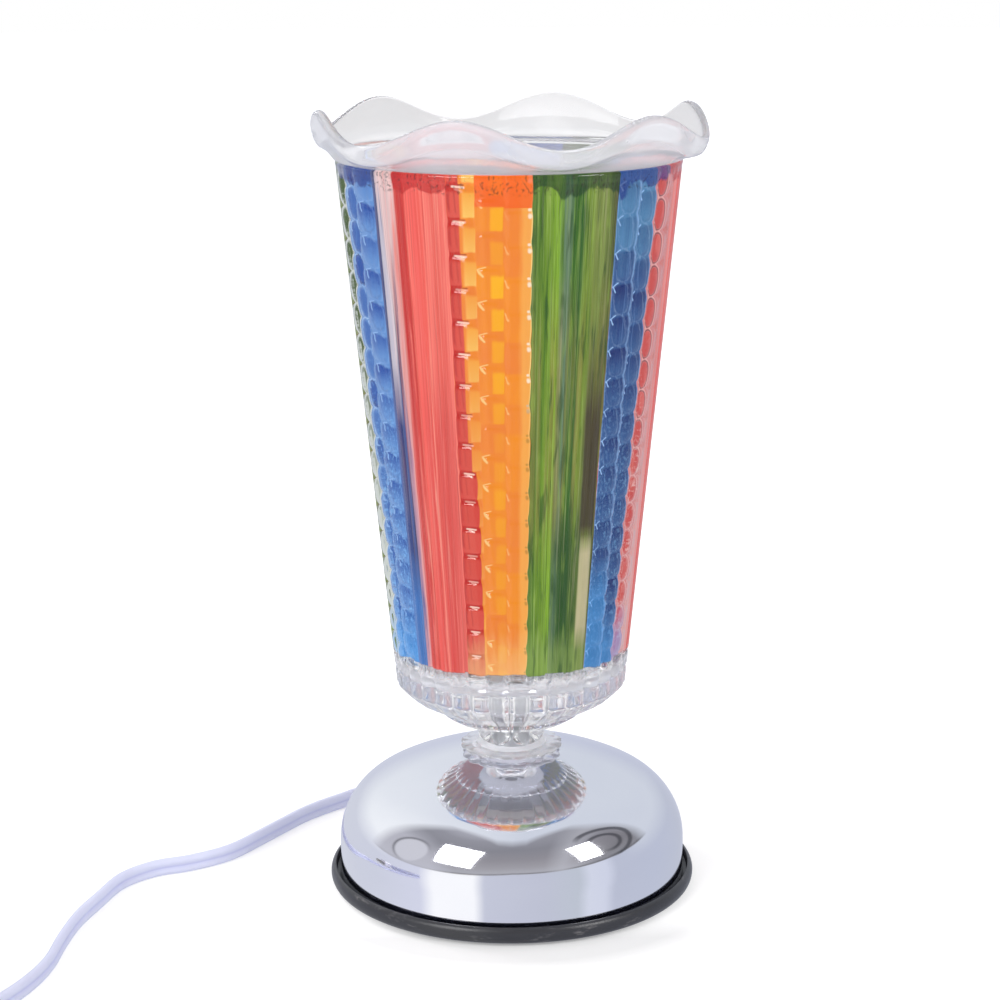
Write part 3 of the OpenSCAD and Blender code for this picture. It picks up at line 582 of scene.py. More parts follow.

    # Blue panel: dark hearts in a net of pale lines; the pale net is painted reflection where the grooves
    # between the scales catch light
    lean = across + along * 0.18 + grit * 0.5
    tall = along + soft * 0.7 + grit * 0.4
    ring = (abs(lean / (0.62 + third * 0.2)) ** 2.4 + abs(tall / 0.94) ** 2.4) ** 0.417 + soft * 0.5
    heart = ring.below(0.98, 3.5)
    rim = abs(ring - 0.84).below(0.12, 10.0) * chance.above(0.25, 1.6)
    net_reflection = abs(ring - 1.12).below(0.14, 9.0) * (0.45 + dab.above(0.42, 5.0) * 0.55)
    upper = ((height - 154.0 + soft * 30.0) / 12.0).clamp() * right_one
    plain = 1.0 - left_one * (first + second)
    blue = between(right_one, (106, 152, 214), (68, 100, 152))
    blue = blue.brushed(upper * 0.85, 94, 146, 188)
    deep = between(right_one, (48, 84, 170), (36, 60, 116))
    shade = ((along + 0.55 + soft + grit * 0.8) * 0.9).clamp() * along.below(0.80, 6.0)
    shade = shade * (0.5 + chance * 0.5)
    heart_share = heart * (0.45 + chance * 0.5) * (1.0 - plain) + shade * (1.0 - upper * 0.6) * plain
    blue = bench.blend(heart_share, blue, deep)
    blue = blue.brushed(rim * (0.75 - plain * 0.55), 36, 54, 118)
    smudge = broad.below(0.47, 5.0) * fine.below(0.56, 5.0)
    blue = blue.brushed(smudge * 0.55, 40, 66, 128)
    blue = blue.brushed(fine.above(0.56, 6.0) * 0.4, 120, 164, 222)
    blue = blue.brushed(net_reflection * (0.8 - plain * 0.6) * (0.35 + strong * 0.65), 184, 216, 250)
    fleck = (1.0 - strong) * (1.0 - right_one * 0.5)
    blue = blue.brushed(grit.above(0.03, 9.0) * fleck, 146, 204, 252)
    blue = blue.brushed(grit.below(-0.08, 9.0) * fleck, 44, 74, 154)
    line = ((abs(across) - 0.88 + grit * 0.2) * 9.0).clamp() * right_one * (0.4 + dab * 0.8)
    blue = blue.brushed(line.clamp() * 0.7, 146, 188, 238)
    green_edge = between(heart * height.past(62.0, 70.0), (214, 220, 212), (84, 104, 60))
    green_edge = green_edge.brushed(rim * (1.0 - strong) * 1.3, 112, 134, 116)
    blue = bench.blend(left_one * first, blue, green_edge)
    oval = ((across / 0.62) ** 2.0 + (along / 0.84) ** 2.0).root()
    red_edge = between(oval.below(1.0, 6.0), (222, 140, 138), (214, 92, 88))
    red_edge = red_edge.brushed(dab.above(0.5, 6.0) * 0.6, 236, 128, 118)
    dark_ring = abs(oval - 1.0).below(0.10, 12.0) * height.past(88.0, 30.0)
    red_edge = red_edge.brushed(dark_ring * 0.8, 96, 56, 60)
    # Painted reflection: a pale ring round each red oval, where the grooves catch light
    red_edge = red_edge.brushed(abs(oval - 1.24).below(0.12, 12.0) * 0.7, 246, 200, 194)
    red_edge = red_edge.brushed(grit.above(0.04, 8.0) * (1.0 - strong), 250, 216, 210)
    blue = bench.blend(right_one * third, blue, red_edge)

    # Flutes: green, or red that starts in dark and pale strips on the left
    green = across_flutes(
        (0.0, 104, 132, 66), (0.08, 96, 132, 50), (0.20, 122, 158, 54), (0.33, 142, 184, 60),
        (0.38, 108, 136, 108), (0.44, 102, 132, 98), (0.49, 72, 116, 46), (0.56, 60, 102, 32),
        (0.62, 122, 152, 58), (0.74, 130, 146, 70), (0.86, 124, 138, 72), (0.95, 106, 116, 60),
        (1.0, 70, 66, 44))
    red = across_flutes(
        (0.0, 222, 92, 90), (0.12, 206, 58, 56), (0.28, 252, 116, 104), (0.45, 246, 96, 84),
        (0.56, 226, 84, 76), (0.72, 255, 122, 108), (0.86, 240, 96, 84), (1.0, 250, 120, 108))
    strips = across_flutes(
        (0.0, 104, 116, 160), (0.05, 56, 66, 116), (0.09, 196, 190, 206), (0.14, 232, 218, 222),
        (0.17, 112, 100, 124), (0.23, 84, 76, 108), (0.27, 240, 176, 172), (0.30, 236, 150, 144),
        (0.35, 206, 58, 54), (0.42, 214, 66, 60), (0.50, 255, 112, 102), (0.66, 246, 100, 90),
        (0.74, 255, 128, 114), (0.84, 236, 96, 86), (1.0, 255, 130, 116))
    dark_strips = across_flutes(
        (0.0, 92, 124, 190), (0.06, 74, 92, 152), (0.12, 60, 68, 118), (0.16, 88, 106, 164),
        (0.22, 56, 62, 108), (0.26, 196, 150, 172), (0.28, 238, 170, 168), (0.32, 226, 90, 84),
        (0.40, 212, 64, 60), (0.50, 252, 108, 98), (0.61, 238, 92, 84), (0.64, 255, 148, 134),
        (0.67, 236, 92, 84), (0.84, 226, 88, 82), (1.0, 246, 116, 106))
    lower_left = flute_at.below(0.25, 40.0) * ((70.0 - height + soft * 40.0) / 16.0).clamp()
    dark_strips = dark_strips.brushed(lower_left * 0.7, 84, 142, 214)
    strips = bench.blend(((132.0 - height + soft * 30.0) / 24.0).clamp(), strips, dark_strips)
    wedge = height.past(126.0, 56.0) * 0.13
    wedge = ((wedge - abs(flute_at - 0.19)) * 24.0).clamp()
    strips = strips.brushed(wedge * 0.85, 244, 210, 206)
    red = bench.blend(left_one, red, strips)
    edge_light = right_one * flute_at.below(0.42, 6.0) * (0.85 - height.past(50.0, 90.0) * 0.5)
    red = red.brushed(edge_light, 236, 194, 192)
    darker = red.brushed(1.0, 232, 176, 178, how="MULTIPLY")
    red = bench.blend(fine.below(0.47, 5.0) * 0.55, red, darker)
    red = red.brushed(broad.above(0.55, 6.0) * 0.4, 255, 146, 130)
    glints = fine.above(0.57, 9.0) * 0.45 * (1.0 - left_one * (flute_at < 0.28))
    red = red.brushed(glints, 255, 158, 142)
    green = green.brushed(fine.below(0.49, 6.0) * 0.75, 66, 100, 34)
    green = green.brushed(fine.above(0.55, 7.0) * 0.55, 168, 196, 104)
    olive = broad.above(0.42, 6.0) * height.past(66.0, 20.0) * height.before(158.0, 30.0)
    green = green.brushed(olive * 0.6, 148, 138, 74)
    moss = ((92.0 - height + soft * 50.0) / 18.0).clamp()
    moss = moss * flute_at.above(0.32, 8.0) * flute_at.below(0.80, 8.0)
    green = green.brushed(moss * (0.4 + dab * 0.7).clamp(), 56, 88, 34)
    # Painted light: paler near the foot, where light comes in through the clear band
    green = green.brushed(((48.0 - height + soft * 16.0) / 8.0).clamp() * 0.5, 150, 178, 96)
    patch = bench.grain(bench.spot(turn * 0.5, height / 16.0, 4.0), 1.0, 2.0)
    green = green.brushed(patch.above(0.56, 9.0) * 0.6, 50, 82, 30)
    green = green.brushed(patch.below(0.42, 9.0) * 0.4, 156, 186, 82)
    flutes = bench.blend(odd, green, red)
    flutes = flutes.brushed(bristle.above(0.57, 10.0) * 0.5, 140, 128, 112, how="SCREEN")
    flutes = flutes.brushed(bristle.below(0.42, 10.0) * 0.5, 206, 200, 190, how="MULTIPLY")
    coat = bench.blend(fluted, bench.blend(odd, orange, blue), flutes)

    # Painted highlights: pale marks where the corners of the scales catch the light; the dots are pale
    # glints high up and dark lower down
    dash = stroke(u, v, (-1.9, 4.0), (0.8, 3.75), 0.5)
    dash = first * dash.least(stroke(u, v, (-1.2, 3.3), (0.3, 2.7), 0.42) * (1.3 - strong))
    nick = first * stroke(u, v, (-0.3, 4.75), (0.7, 4.6), 0.45)
    fork = stroke(u, v, (-3.3, 3.5), (-1.2, 4.3), 0.28).least(stroke(u, v, (-3.2, 3.5), (-1.8, 1.8), 0.34))
    slant = third * stroke(u, v, (-3.4, 3.8), (-2.2, 1.8), 0.32)
    dots = stroke(u, v, (2.9, 2.5), (3.0, 2.6), 0.8)
    dots = third * dots.least(stroke(u, v, (2.9, 4.2), (3.0, 4.25), 0.65))
    keep = chance.above(0.12, 5.0)
    painted_glints = dash * (0.45 + keep * 0.5) + (second * fork * 0.75 + slant * 0.5) * keep
    high_glint = height.past(112.0, 10.0)
    coat = coat.brushed(nick * (1.0 - fluted) * (1.0 - odd) * 0.7, 150, 30, 34)
    dot_tone = between(high_glint, (96, 92, 30), (255, 236, 206))
    coat = bench.blend(dots * (1.0 - fluted) * (1.0 - odd) * (0.35 + high_glint * 0.55), coat, dot_tone)
    glint_tone = between(first, (255, 222, 150), (255, 216, 198))
    coat = bench.blend(painted_glints.clamp() * (1.0 - fluted) * (1.0 - odd), coat, glint_tone)
    glint_fork = fork * keep * odd * (1.0 - fluted) * (1.0 - left_one * first) * (1.0 - right_one * third)
    coat = coat.brushed(glint_fork * (0.75 + right_one * 0.25), 164, 204, 248)

    # Painted shade in a ragged band under the rim, where the dish darkens the inside, with dark specks at
    # the rim; painted light on the blue scales near the foot, where light comes in through the clear band
    rim_shade_edge = ((height - 180.6 + (blotch - 0.5) * 16.0 + soft * 6.0) / 0.7).clamp()
    scales_shade_band = ((height - 176.6 + (chance - 0.5) * 2.0) / 0.5).clamp() * (1.0 - first) * (1.0 - odd)
    scales_rim_shade = between(odd, (246, 104, 44), (40, 62, 140))
    top = bench.blend(fluted, scales_rim_shade, between(odd, (42, 72, 24), (200, 40, 44)))
    bare = left_one * fluted * (flute_at < 0.32)
    rim_shade = rim_shade_edge * (fluted + odd).clamp() * (1.0 - bare) * 0.75
    coat = bench.blend(rim_shade.least(scales_shade_band * (1.0 - fluted) * 0.85), coat, top)
    speck = height.past(179.4, 1.0) * grit.above(0.05, 12.0)
    coat = coat.brushed(speck * 0.55, 58, 44, 48)
    # Painted light: paler blue low on the scales, where light comes in through the clear band
    low = ((52.0 - height + first * right_one * 16.0 + soft * 16.0) / 12.0).clamp() * odd * (1.0 - fluted)
    coat = coat.brushed(low * 0.45, 90, 176, 246)

    # Slit beside the green panel on the right: painted shade where the gap shows the dim inside, and a pale
    # strip below it
    slit_shade = abs(turn - 34.0 - wobble * 0.6).below(4.4, 1.0) * height.past(74.0, 6.0)
    slit_shade = slit_shade * ((138.0 - height + (fine - 0.5) * 60.0) / 24.0).clamp()
    coat = coat.brushed(slit_shade * 0.88, 74, 62, 52)
    pale = abs(turn - 34.4 - wobble * 0.6).below(3.6, 1.0) * height.before(77.0, 6.0)
    pale = pale * height.past(40.0, 8.0)
    coat = coat.brushed(pale * (0.55 + dab * 0.5), 212, 200, 160)

    edge = BAND_TOP + 0.8 + (chance * 0.5 + blotch) * 1.4
    shader = bench.gloss({
        "Base Color": coat,
        "Roughness": 0.42 + fine * 0.2,
        "Alpha": ((height - edge) * 3.0).clamp(),
        "Specular IOR Level": 0.1,
        "Normal": bench.bump(fine, 0.15, 0.0004),
    })
    glow_through = bench.node("ShaderNodeBsdfTranslucent", None, {"Color": coat})
    bench.surface(bench.either(0.1, shader, glow_through))
    return material


clear_glass = glass_finish("pressed_clear_glass", (0.985, 0.99, 0.99, 1), 0.0, 0.06, 260.0,
                           milky=pressed_haze)
dish_glass = glass_finish("blown_clear_glass", (0.96, 0.96, 0.97, 1), 0.05, 0.05, 90.0, 0.3, bowl_haze,
                          tint(243, 243, 247))
lens_glass = glass_finish("lens_glass", (0.97, 0.98, 0.98, 1), 0.02, 0.30, 420.0)
lead_plastic = lead_finish()
chrome = chrome_finish()
charcoal = tray_finish()
paint = paint_finish()
mirror = plain_finish("mirror_coating", (214, 216, 222), (196, 198, 208), 0.12, 500.0, metal=1.0, bump=0.05)

# Parts that stay as they are, with the two colours, gloss and grain of their finish
METAL = {"metal": 1.0, "bump": 0.06}
plain = [
    ("black_moulded_plastic", (40, 40, 43), (54, 54, 58), 0.5, 1500.0, {"bump": 0.12},
     "module_case module_lid"),
    ("dull_black_rubber", (26, 26, 27), (40, 39, 38), 0.78, 1200.0, {"bump": 0.2}, "foot_pads"),
    ("milky_rubber", (214, 216, 222), (232, 233, 238), 0.4, 500.0, {}, "shade_gasket shade_seal"),
    ("drawn_brass", (206, 172, 92), (188, 150, 78), 0.28, 900.0, METAL, "holder_contacts"),
    ("zinc_plated_steel", (196, 198, 202), (168, 170, 176), 0.3, 800.0, METAL,
     "cover_screws dome_brackets spring_washer clamp_washer holder_plate holder_screws threaded_tube"
     " dome_nut clamp_nut holder_nut"),
    ("unglazed_ceramic", (236, 230, 216), (222, 214, 198), 0.55, 900.0, {"bump": 0.1},
     "lampholder bulb_cap"),
    ("green_circuit_board", (26, 92, 52), (34, 110, 62), 0.4, 600.0, {"coat": 0.3}, "touch_board"),
    ("foam_tape", (214, 210, 196), (196, 190, 174), 0.85, 1400.0, {"bump": 0.4}, "module_tape"),
    ("wire_sleeve", (214, 212, 204), (232, 230, 222), 0.42, 800.0, {}, "holder_leads supply_tails"),
    ("blue_wire_sleeve", (44, 70, 160), (58, 88, 184), 0.42, 800.0, {}, "touch_lead"),
    ("nickel_plated_brass", (206, 202, 190), (184, 178, 160), 0.24, 900.0, {"metal": 1.0, "bump": 0.05},
     "bulb_pins plug_blades"),
    ("pale_plug_plastic", (226, 225, 240), (236, 235, 245), 0.42, 1300.0, {"bump": 0.08},
     "cord_bush plug_body"),
    ("tie_strip", (214, 214, 222), (230, 230, 236), 0.55, 1600.0, {"bump": 0.12}, "cord_tie"),
]


def dress(part, material):
    nodes[part].data.materials.clear()
    nodes[part].data.materials.append(material)


for name, colour, other, rough, grain, more, parts in plain:
    material = plain_finish(name, colour, other, rough, grain, **more)
    for part in parts.split():
        dress(part, material)
dress("bulb_capsule", lens_glass)


# Cord: flat twin lead on its edge, from the strain relief round the table to the coil and the plug


def lead_path():
    """Middle line of the lead in millimetres."""
    out = np.array([math.cos(math.radians(80)), math.sin(math.radians(80)), 0])
    start = 75.85 * out + np.array([0, 0, 11.0])
    lie = 2.8
    route = [(13.9, 92.4, 10.6), (9, 102, 8.8), (0.4, 108.6, 6.8), (-10.2, 111, 5), (-20.8, 108.6, 3.6),
             (-29.4, 102, lie), (-36.5, 90, lie), (-43, 78, lie), (-55, 64, lie), (-69, 49, lie),
             (-81, 30, lie), (-92, 13, lie), (-104, 4, lie), (-115, -1, lie), (-124, -11, lie),
             (-129, -27, lie), (-133, -42, lie), (-135, -58, lie), (-136, -73, lie), (-139, -86, lie),
             (-145, -100, lie), (-154, -113, lie + 0.4)]
    middle, radius, pitch, first = np.array([-190, -92]), 37.2, 3.5, -60
    turns = 7 + 165 / 360

    def coil(turn):
        """Inwards in the lower layer, then up and outwards again in the upper one."""
        away = radius - pitch * min(turn, turns - turn)
        angle = math.radians(first - 360 * turn)
        climb = max(0.0, min(1.0, (turn - turns / 2 + 0.25) / 0.5))
        up = 3.7 + 6.05 * climb * climb * (3 - 2 * climb)
        return np.array([middle[0] + away * math.cos(angle), middle[1] + away * math.sin(angle), up])

    into = np.array([math.sin(math.radians(first)), -math.cos(math.radians(first)), 0])
    coil_in = coil(0) - 6 * into
    coil_end = coil(turns)
    tail = math.radians(first - 360 * turns - 90)
    tail = np.array([math.cos(tail), math.sin(tail), 0])
    drop = np.array([0, 0, coil_end[2] - 7.5])
    laid = spline([start, start + 7 * out] + route + [coil_in - 4 * into, coil_in], 4)
    wound = [coil_in + 3 * into] + [coil(i / 32) for i in range(int(32 * turns) + 1)]
    end = [coil_end + along * tail - share * drop for along, share in
           [(2, 0.05), (4, 0.2), (6.5, 0.5), (9, 0.8), (11, 0.95), (13, 1), (16, 1), (20, 1)]]
    return laid + wound + end


def lead_section():
    """Outline of the lead: two round cores side by side, joined by a narrow web."""
    core, web = 1.4, 0.86
    upper = arc(0.0, core, core, -48, 228, 8)
    lower = [(-s, -w) for s, w in upper]
    return upper + [(-web, 0.0)] + lower + [(web, 0.0)]


lead_line = lead_path()
section = lead_section()
verts, faces, depth = [], [], []
for i, p in enumerate(lead_line):
    ahead = lead_line[min(i + 1, len(lead_line) - 1)] - lead_line[max(i - 1, 0)]
    ahead = ahead / np.linalg.norm(ahead)
    side = np.array([-ahead[1], ahead[0], 0.0])
    side = side / np.linalg.norm(side)
    up = np.cross(ahead, side)
    for s, w in section:
        verts.append(tuple((p + s * side + w * up) * MM))
        # Share of painted shade in the groove between the two cores
        depth.append(max(0.0, 1.0 - abs(w) / 0.62))
around = len(section)
for i in range(len(lead_line) - 1):
    for j in range(around):
        a, b = i * around + j, i * around + (j + 1) % around
        faces.append((a, a + around, b + around, b))
faces.append(tuple(range(around)))
faces.append(tuple(range(len(verts) - 1, len(verts) - around - 1, -1)))
lead = made("twin_lead", verts, faces, lead_plastic)
lead.data.attributes.new("groove", "FLOAT", "POINT").data.foreach_set("value", depth)
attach(lead, "base")
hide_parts("cord_lead", "cord_coil")


# Glass shade: one pressed body with beads, ribs of the cup, flutes and scales on its outside


def wall_r(h):
    return BAND_R + (h - BAND_H) * (SHADE_R - BAND_R) / (SHADE_H - BAND_H)


def shade_outline():
    """Outline of the shade in radius and height, and which of its points lie on the pressed outside."""
    foot = [(HOLE_R, 0.0), (10.6, 0.0), (15.6, 0.0), (16.0, 0.12), (16.2, 0.4), (16.2, 0.7), (16.0, 1.0),
            (15.5, 1.2), (13.4, 1.4), (10.8, 1.7), (9.7, 2.1)]
    neck = [(np.interp(h, [2.1, 4.4, 5.8, 8.0], [9.4, 8.6, 8.6, 9.4]), h) for h in np.arange(2.35, 7.9, 0.3)]
    cup = straight([(10.0, 7.9), (13.9, 8.7), (19.0, 10.2), (22.0, 12.1)], 5)
    step = [(22.4, 12.6), (22.5, 13.0), (23.2, 13.4)]
    under = straight([(24.6, 14.2), (31.5, 18.0), (35.0, 21.2)], 6)
    band = [(wall_r(h), h) for h in np.arange(BAND_H, BAND_TOP, 0.78)]
    rows = AIM_H + (TICK_H - AIM_H) * np.exp(np.arange(-160, 12) / 9 / ROW_RATE)
    wall = [(wall_r(h), h) for h in rows if BAND_TOP < h < SHADE_H - 1.2]
    rim = arc(SHADE_R - 1.0, SHADE_H - 1.0, 1.0, 0, 90, 5)
    rim += arc(SHADE_R - GLASS_T + 1.0, SHADE_H - 1.0, 1.0, 90, 180, 5)
    outer = foot + neck + cup + step + under + band + wall
    inner = [(wall_r(h) - GLASS_T, h) for h in np.linspace(SHADE_H - 2.5, 34.0, 18)]
    bend = 6.0
    corner = arc(wall_r(FLOOR_H + bend) - GLASS_T - bend, FLOOR_H + bend, bend, 0, -90, 8)
    floor = [(20.0, FLOOR_H), (12.0, FLOOR_H), (HOLE_R, FLOOR_H), (HOLE_R, 16.0), (HOLE_R, 8.0)]
    inside = rim + inner + corner + floor
    line = [(r, h + GLASS_Z) for r, h in list(map(tuple, outer)) + inside]
    return line, [1.0] * len(outer) + [0.0] * len(inside)


outline, skin = shade_outline()
shares = [SHARE * i / 30 for i in range(30)] + [SHARE + (1 - SHARE) * i / 30 for i in range(30)]
turns = [START + (k + share) * 360 / REPEATS for k in range(REPEATS) for share in shares]
shade = turned("shade_glass", outline, clear_glass, turns=turns, marks={"skin": skin})
rule = Rule("pressed_relief", {
    "Repeats": REPEATS, "Start": START, "Scale share": SHARE, "Columns": COLUMNS, "Flutes": FLUTES,
    "Row rate": ROW_RATE, "Row shift": 1 / 3, "Scale depth": 0.95, "Flute depth": 0.5, "Ribs": 36,
    "Rib depth": 1.2, "Beads": 8, "Bead radius": 3.0, "Bead circle": 8.0, "Foot scallops": 16,
    "Scallop depth": 0.7})
x, y, z = rule.place()
angle = rule.maths("ARCTAN2", x, 0.0 - y)
radius = (x * x + y * y).root() * 1000.0
height = z * 1000.0 - GLASS_Z
share = rule.size("Scale share")
panel = ((angle * (180 / math.pi) - rule.size("Start")) * rule.size("Repeats") / 360.0).fract()
flute = ((panel - share) / (1.0 - share) * rule.size("Flutes")).fract() * 2.0 - 1.0
flute = (flute * flute - 1.0) * rule.size("Flute depth")
column = panel / share * rule.size("Columns")
across = column.fract() * 2.0 - 1.0
row = ((height - AIM_H) / (TICK_H - AIM_H)).log() * rule.size("Row rate")
row = row + rule.size("Row shift") * column.floor()
along = row.fract() * 2.0 - 1.0
pillow = (1.0 - across ** 4.0) * (1.0 - abs(along) ** 5.0) * (1.0 + along * 0.25)
scale = (pillow - 0.7) * rule.size("Scale depth")
scaled = panel < share
wall = scaled * scale + (1.0 - scaled) * flute
wall = wall * (height - 31.7).clamp() * height.before(183.6, 2.0)
rib = ((angle * (180 / math.pi) - rule.size("Start")) * rule.size("Ribs") / 360.0).fract() * 2.0 - 1.0
rib = rib ** 4.0 * rule.size("Rib depth") * -1.0 - (1.0 - abs(height - 27.4) / 0.8).least(0.0) * 0.5
rib = rib * height.past(8.6, 5.0) * height.before(31.9, 0.6)
swing = ((angle * rule.size("Beads") / (2 * math.pi)).fract() - 0.5) * (2 * math.pi) / rule.size("Beads")
off = rule.size("Bead circle") * swing.sine()
inside = rule.size("Bead radius") * rule.size("Bead radius") - (height - 5.3) * (height - 5.3) - off * off
bead = rule.size("Bead circle") * swing.cosine() + inside.least(0.0).root() - radius
bead = bead.least(0.0) * (inside > 0.0)
scallop = abs((angle * rule.size("Foot scallops") * 0.5).sine()) * rule.size("Scallop depth")
scallop = scallop - rule.size("Scallop depth")
scallop = scallop * height.before(1.9, 0.5) * radius.past(11.0, 4.0)
push = (wall + rib + bead + scallop) * rule.mark("skin") / radius
rule.give(shade, rule.moved(rule.spot(x * push, y * push, 0.0)), clear_glass)
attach(shade, "base")
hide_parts("glass_shade")


# Paint: a thin skin in the glass just outside the inner wall
paint_rows = np.linspace(BAND_TOP + 0.4, SHADE_H - 1.1, 70)
coat_out = [(wall_r(h) - GLASS_T + 0.45, h + GLASS_Z) for h in paint_rows]
coat_in = [(wall_r(h) - GLASS_T + 0.25, h + GLASS_Z) for h in reversed(paint_rows)]
coat = turned("shade_paint", coat_out + coat_in, paint, around=210)
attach(coat, "base")


# Oil dish: a shallow bowl with a ruffled rim, clear glass; each point has radius, height and share of ruffle
RIM_R, OUT, RISE = 59.5, 7.2, 11.4
under = [(0, -6, 0), (20, -6, 0), (34, -6, 0), (40.4, -6, 0), (43.4, -5.16, 0), (45.8, -3, 0), (47.4, 0, 0),
         (50, 0, 0), (SHADE_R, 0, 0), (SHADE_R + 0.22 * OUT, 0.12 * RISE, 0.12),
         (SHADE_R + 0.5 * OUT, 0.26 * RISE, 0.42), (SHADE_R + 0.78 * OUT, 0.46 * RISE, 0.76),
         (SHADE_R + 0.95 * OUT, 0.72 * RISE, 0.95), (RIM_R, 0.92 * RISE, 1), (RIM_R - 0.45, 0.98 * RISE, 1),
         (RIM_R - 1.2, RISE, 1), (RIM_R - 1.95, 0.97 * RISE, 1), (RIM_R - 2.4, 0.86 * RISE, 1),
         (SHADE_R + 0.44 * OUT, 0.26 * RISE + 2.7, 0.72), (SHADE_R + 0.1 * OUT, 0.1 * RISE + 3, 0.3),
         (49.3, 2.7, 0.06), (47, 1.65, 0), (44, -0.84, 0), (41, -2.64, 0), (38.4, -3, 0), (30, -3, 0),
         (16, -3, 0), (0, -3, 0)]
line = spline(under, 3)
line[0], line[-1] = np.array(under[0], float), np.array(under[-1], float)
dish = turned("ruffled_dish", [(max(q[0], 0.0), q[1] + RIM_Z) for q in line], dish_glass, around=288,
              marks={"ruffle": [min(max(q[2], 0.0), 1.0) for q in line]})
rule = Rule("ruffled_rim", {"Waves": 6, "Wave height": 4.1, "Wave draw": 0.9, "Turn": 15})
x, y = rule.place()[:2]
angle = rule.maths("ARCTAN2", x, 0.0 - y) + rule.size("Turn") * (math.pi / 180)
wave = (angle * rule.size("Waves")).cosine() * rule.mark("ruffle")
radius = ((x * x + y * y).root() * 1000.0).least(0.001)
pull = wave * rule.size("Wave draw") * -1.0 / radius
rule.give(dish, rule.moved(rule.spot(x * pull, y * pull, wave * rule.size("Wave height") * MM)), dish_glass)
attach(dish, "dish")
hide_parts("oil_dish")


# Base: plated dome on a charcoal tray
crown_start = SHOULDER_END + 1
crown_end = math.degrees(math.acos((LAND_R - CROWN_AT) / CROWN_R))
inner_end = math.degrees(math.acos((LAND_R - CROWN_AT) / (CROWN_R - DOME_T)))
dome_out = straight([(DOME_R, TRAY_TOP), (DOME_R, WALL_TOP)], 4)[:-1]
dome_out += arc(SHOULDER_AT, WALL_TOP, SHOULDER_R, 0, SHOULDER_END, 26)
dome_out += arc(CROWN_AT, CROWN_Z, CROWN_R, crown_start, crown_end, 24)
dome_out += [(9.0, LAND_Z), (LAND_HOLE_R, LAND_Z)]
dome_in = [(LAND_HOLE_R, LAND_UNDER), (9.0, LAND_UNDER)]
dome_in += arc(CROWN_AT, CROWN_Z, CROWN_R - DOME_T, inner_end, crown_start, 16)
dome_in += arc(SHOULDER_AT, WALL_TOP, SHOULDER_R - DOME_T, SHOULDER_END, 0, 16)
dome_in += [(DOME_R - DOME_T, TRAY_TOP)]
dome = turned("plated_dome", dome_out + dome_in, chrome, around=240)
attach(dome, "base")
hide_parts("base_dome")

bead = [math.radians(a) for a in range(-90, 79, 7)]
tray_line = [(0.0, TRAY_Z), (30.0, TRAY_Z)]
tray_line += [(56.2 + 1.8 * math.cos(a), 3.2 + 2.6 * math.sin(a)) for a in bead]
tray_line += [(56.44, LIP_TOP - 0.08), (56.34, LIP_TOP - 0.2), (56.3, LIP_TOP - 0.4), (56.3, 3.4)]
tray_line += arc(55.9, 3.4, 0.4, 0, -90, 3)
tray_line += [(53.6, TRAY_TOP), (53.6, 4.6), (52.4, 4.6), (52.4, TRAY_TOP)]
tray_line += [(30.0, TRAY_TOP), (0.0, TRAY_TOP)]
tray = turned("charcoal_tray", tray_line, charcoal, around=240)

# Seats for the cover screws and the foot pads in the tray
screw_at, screw_turns, pad_at, pad_turns = 45.8, (0, 120, 240), 44.8, (45, 135, 225, 315)
rods(tray, "UNION", screw_at, screw_turns, 5.0, 2.5, 5.0)
rods(tray, "DIFFERENCE", screw_at, screw_turns, 2.95, -0.4, 3.2)
rods(tray, "DIFFERENCE", screw_at, screw_turns, 1.7, -0.4, 6.0)
rods(tray, "DIFFERENCE", pad_at, pad_turns, 6.1, -0.4, 1.6)
tray.data.set_sharp_from_angle(angle=math.radians(40))
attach(tray, "base")
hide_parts("base_tray")


# Bulb: mirror coated reflector with pressed facets
neck, wide, thick = 8.4, 25.2, 1.4


def flare(t):
    return neck + (wide - neck) * t ** 0.55


spread = [0, 0.01, 0.03, 0.06] + [i / 24 for i in range(2, 25)]
cup_out = [(neck, CUP_Z - 7), (neck, CUP_Z - 3), (neck, CUP_Z + 0.3)]
cup_out += [(flare(t), CUP_Z + 0.5 + 29.5 * t) for t in spread]
cup_out += [(wide, BULB_TOP - 1.5), (wide, BULB_TOP - 0.5), (wide - 0.5, BULB_TOP), (wide - thick, BULB_TOP)]
cup_in = [(flare(t) - thick, CUP_Z + 2 + 28 * t) for t in reversed(spread)]
cup_in += [(neck - thick, CUP_Z), (neck - thick, CUP_Z - 7)]
reflector = turned("reflector_cup", cup_out + cup_in, mirror, around=192,
                   marks={"inner": [0.0] * len(cup_out) + [1.0] * len(cup_in)})
rule = Rule("pressed_facets", {"Facets": 24, "Ring height": 4.2, "Facet depth": 0.4})
x, y, z = rule.place()
angle = rule.maths("ARCTAN2", x, 0.0 - y)
radius = (x * x + y * y).root() * 1000.0
step = (z * 1000.0 - CUP_Z) / rule.size("Ring height")
skew = rule.maths("MODULO", step.floor(), 2.0) * 0.5
turn = (angle * rule.size("Facets") / (2 * math.pi) + skew).fract() * 2.0 - 1.0
rise = step.fract() * 2.0 - 1.0
dent = (turn * turn + rise * rise - 1.0).most(1.0) * rule.size("Facet depth") * rule.mark("inner")
dent = dent * radius.past(9.0, 4.0) * radius.before(23.4, 1.0) / radius
rule.give(reflector, rule.moved(rule.spot(x * dent * -1.0, y * dent * -1.0, 0.0)), mirror)
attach(reflector, "bulb")
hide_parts("bulb_reflector")

lens_line = [(0.0, 159.2), (12.0, 159.25), (20.0, 159.35), (23.2, 159.4), (23.6, 159.7), (23.7, 160.3),
             (23.6, 160.9), (23.2, 161.25), (18.0, 161.32), (9.0, 161.36), (0.0, 161.38)]
lens = turned("front_lens", lens_line, lens_glass, around=128)
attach(lens, "bulb")
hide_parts("bulb_lens")


# Stage: white table, pale surroundings and soft lamps


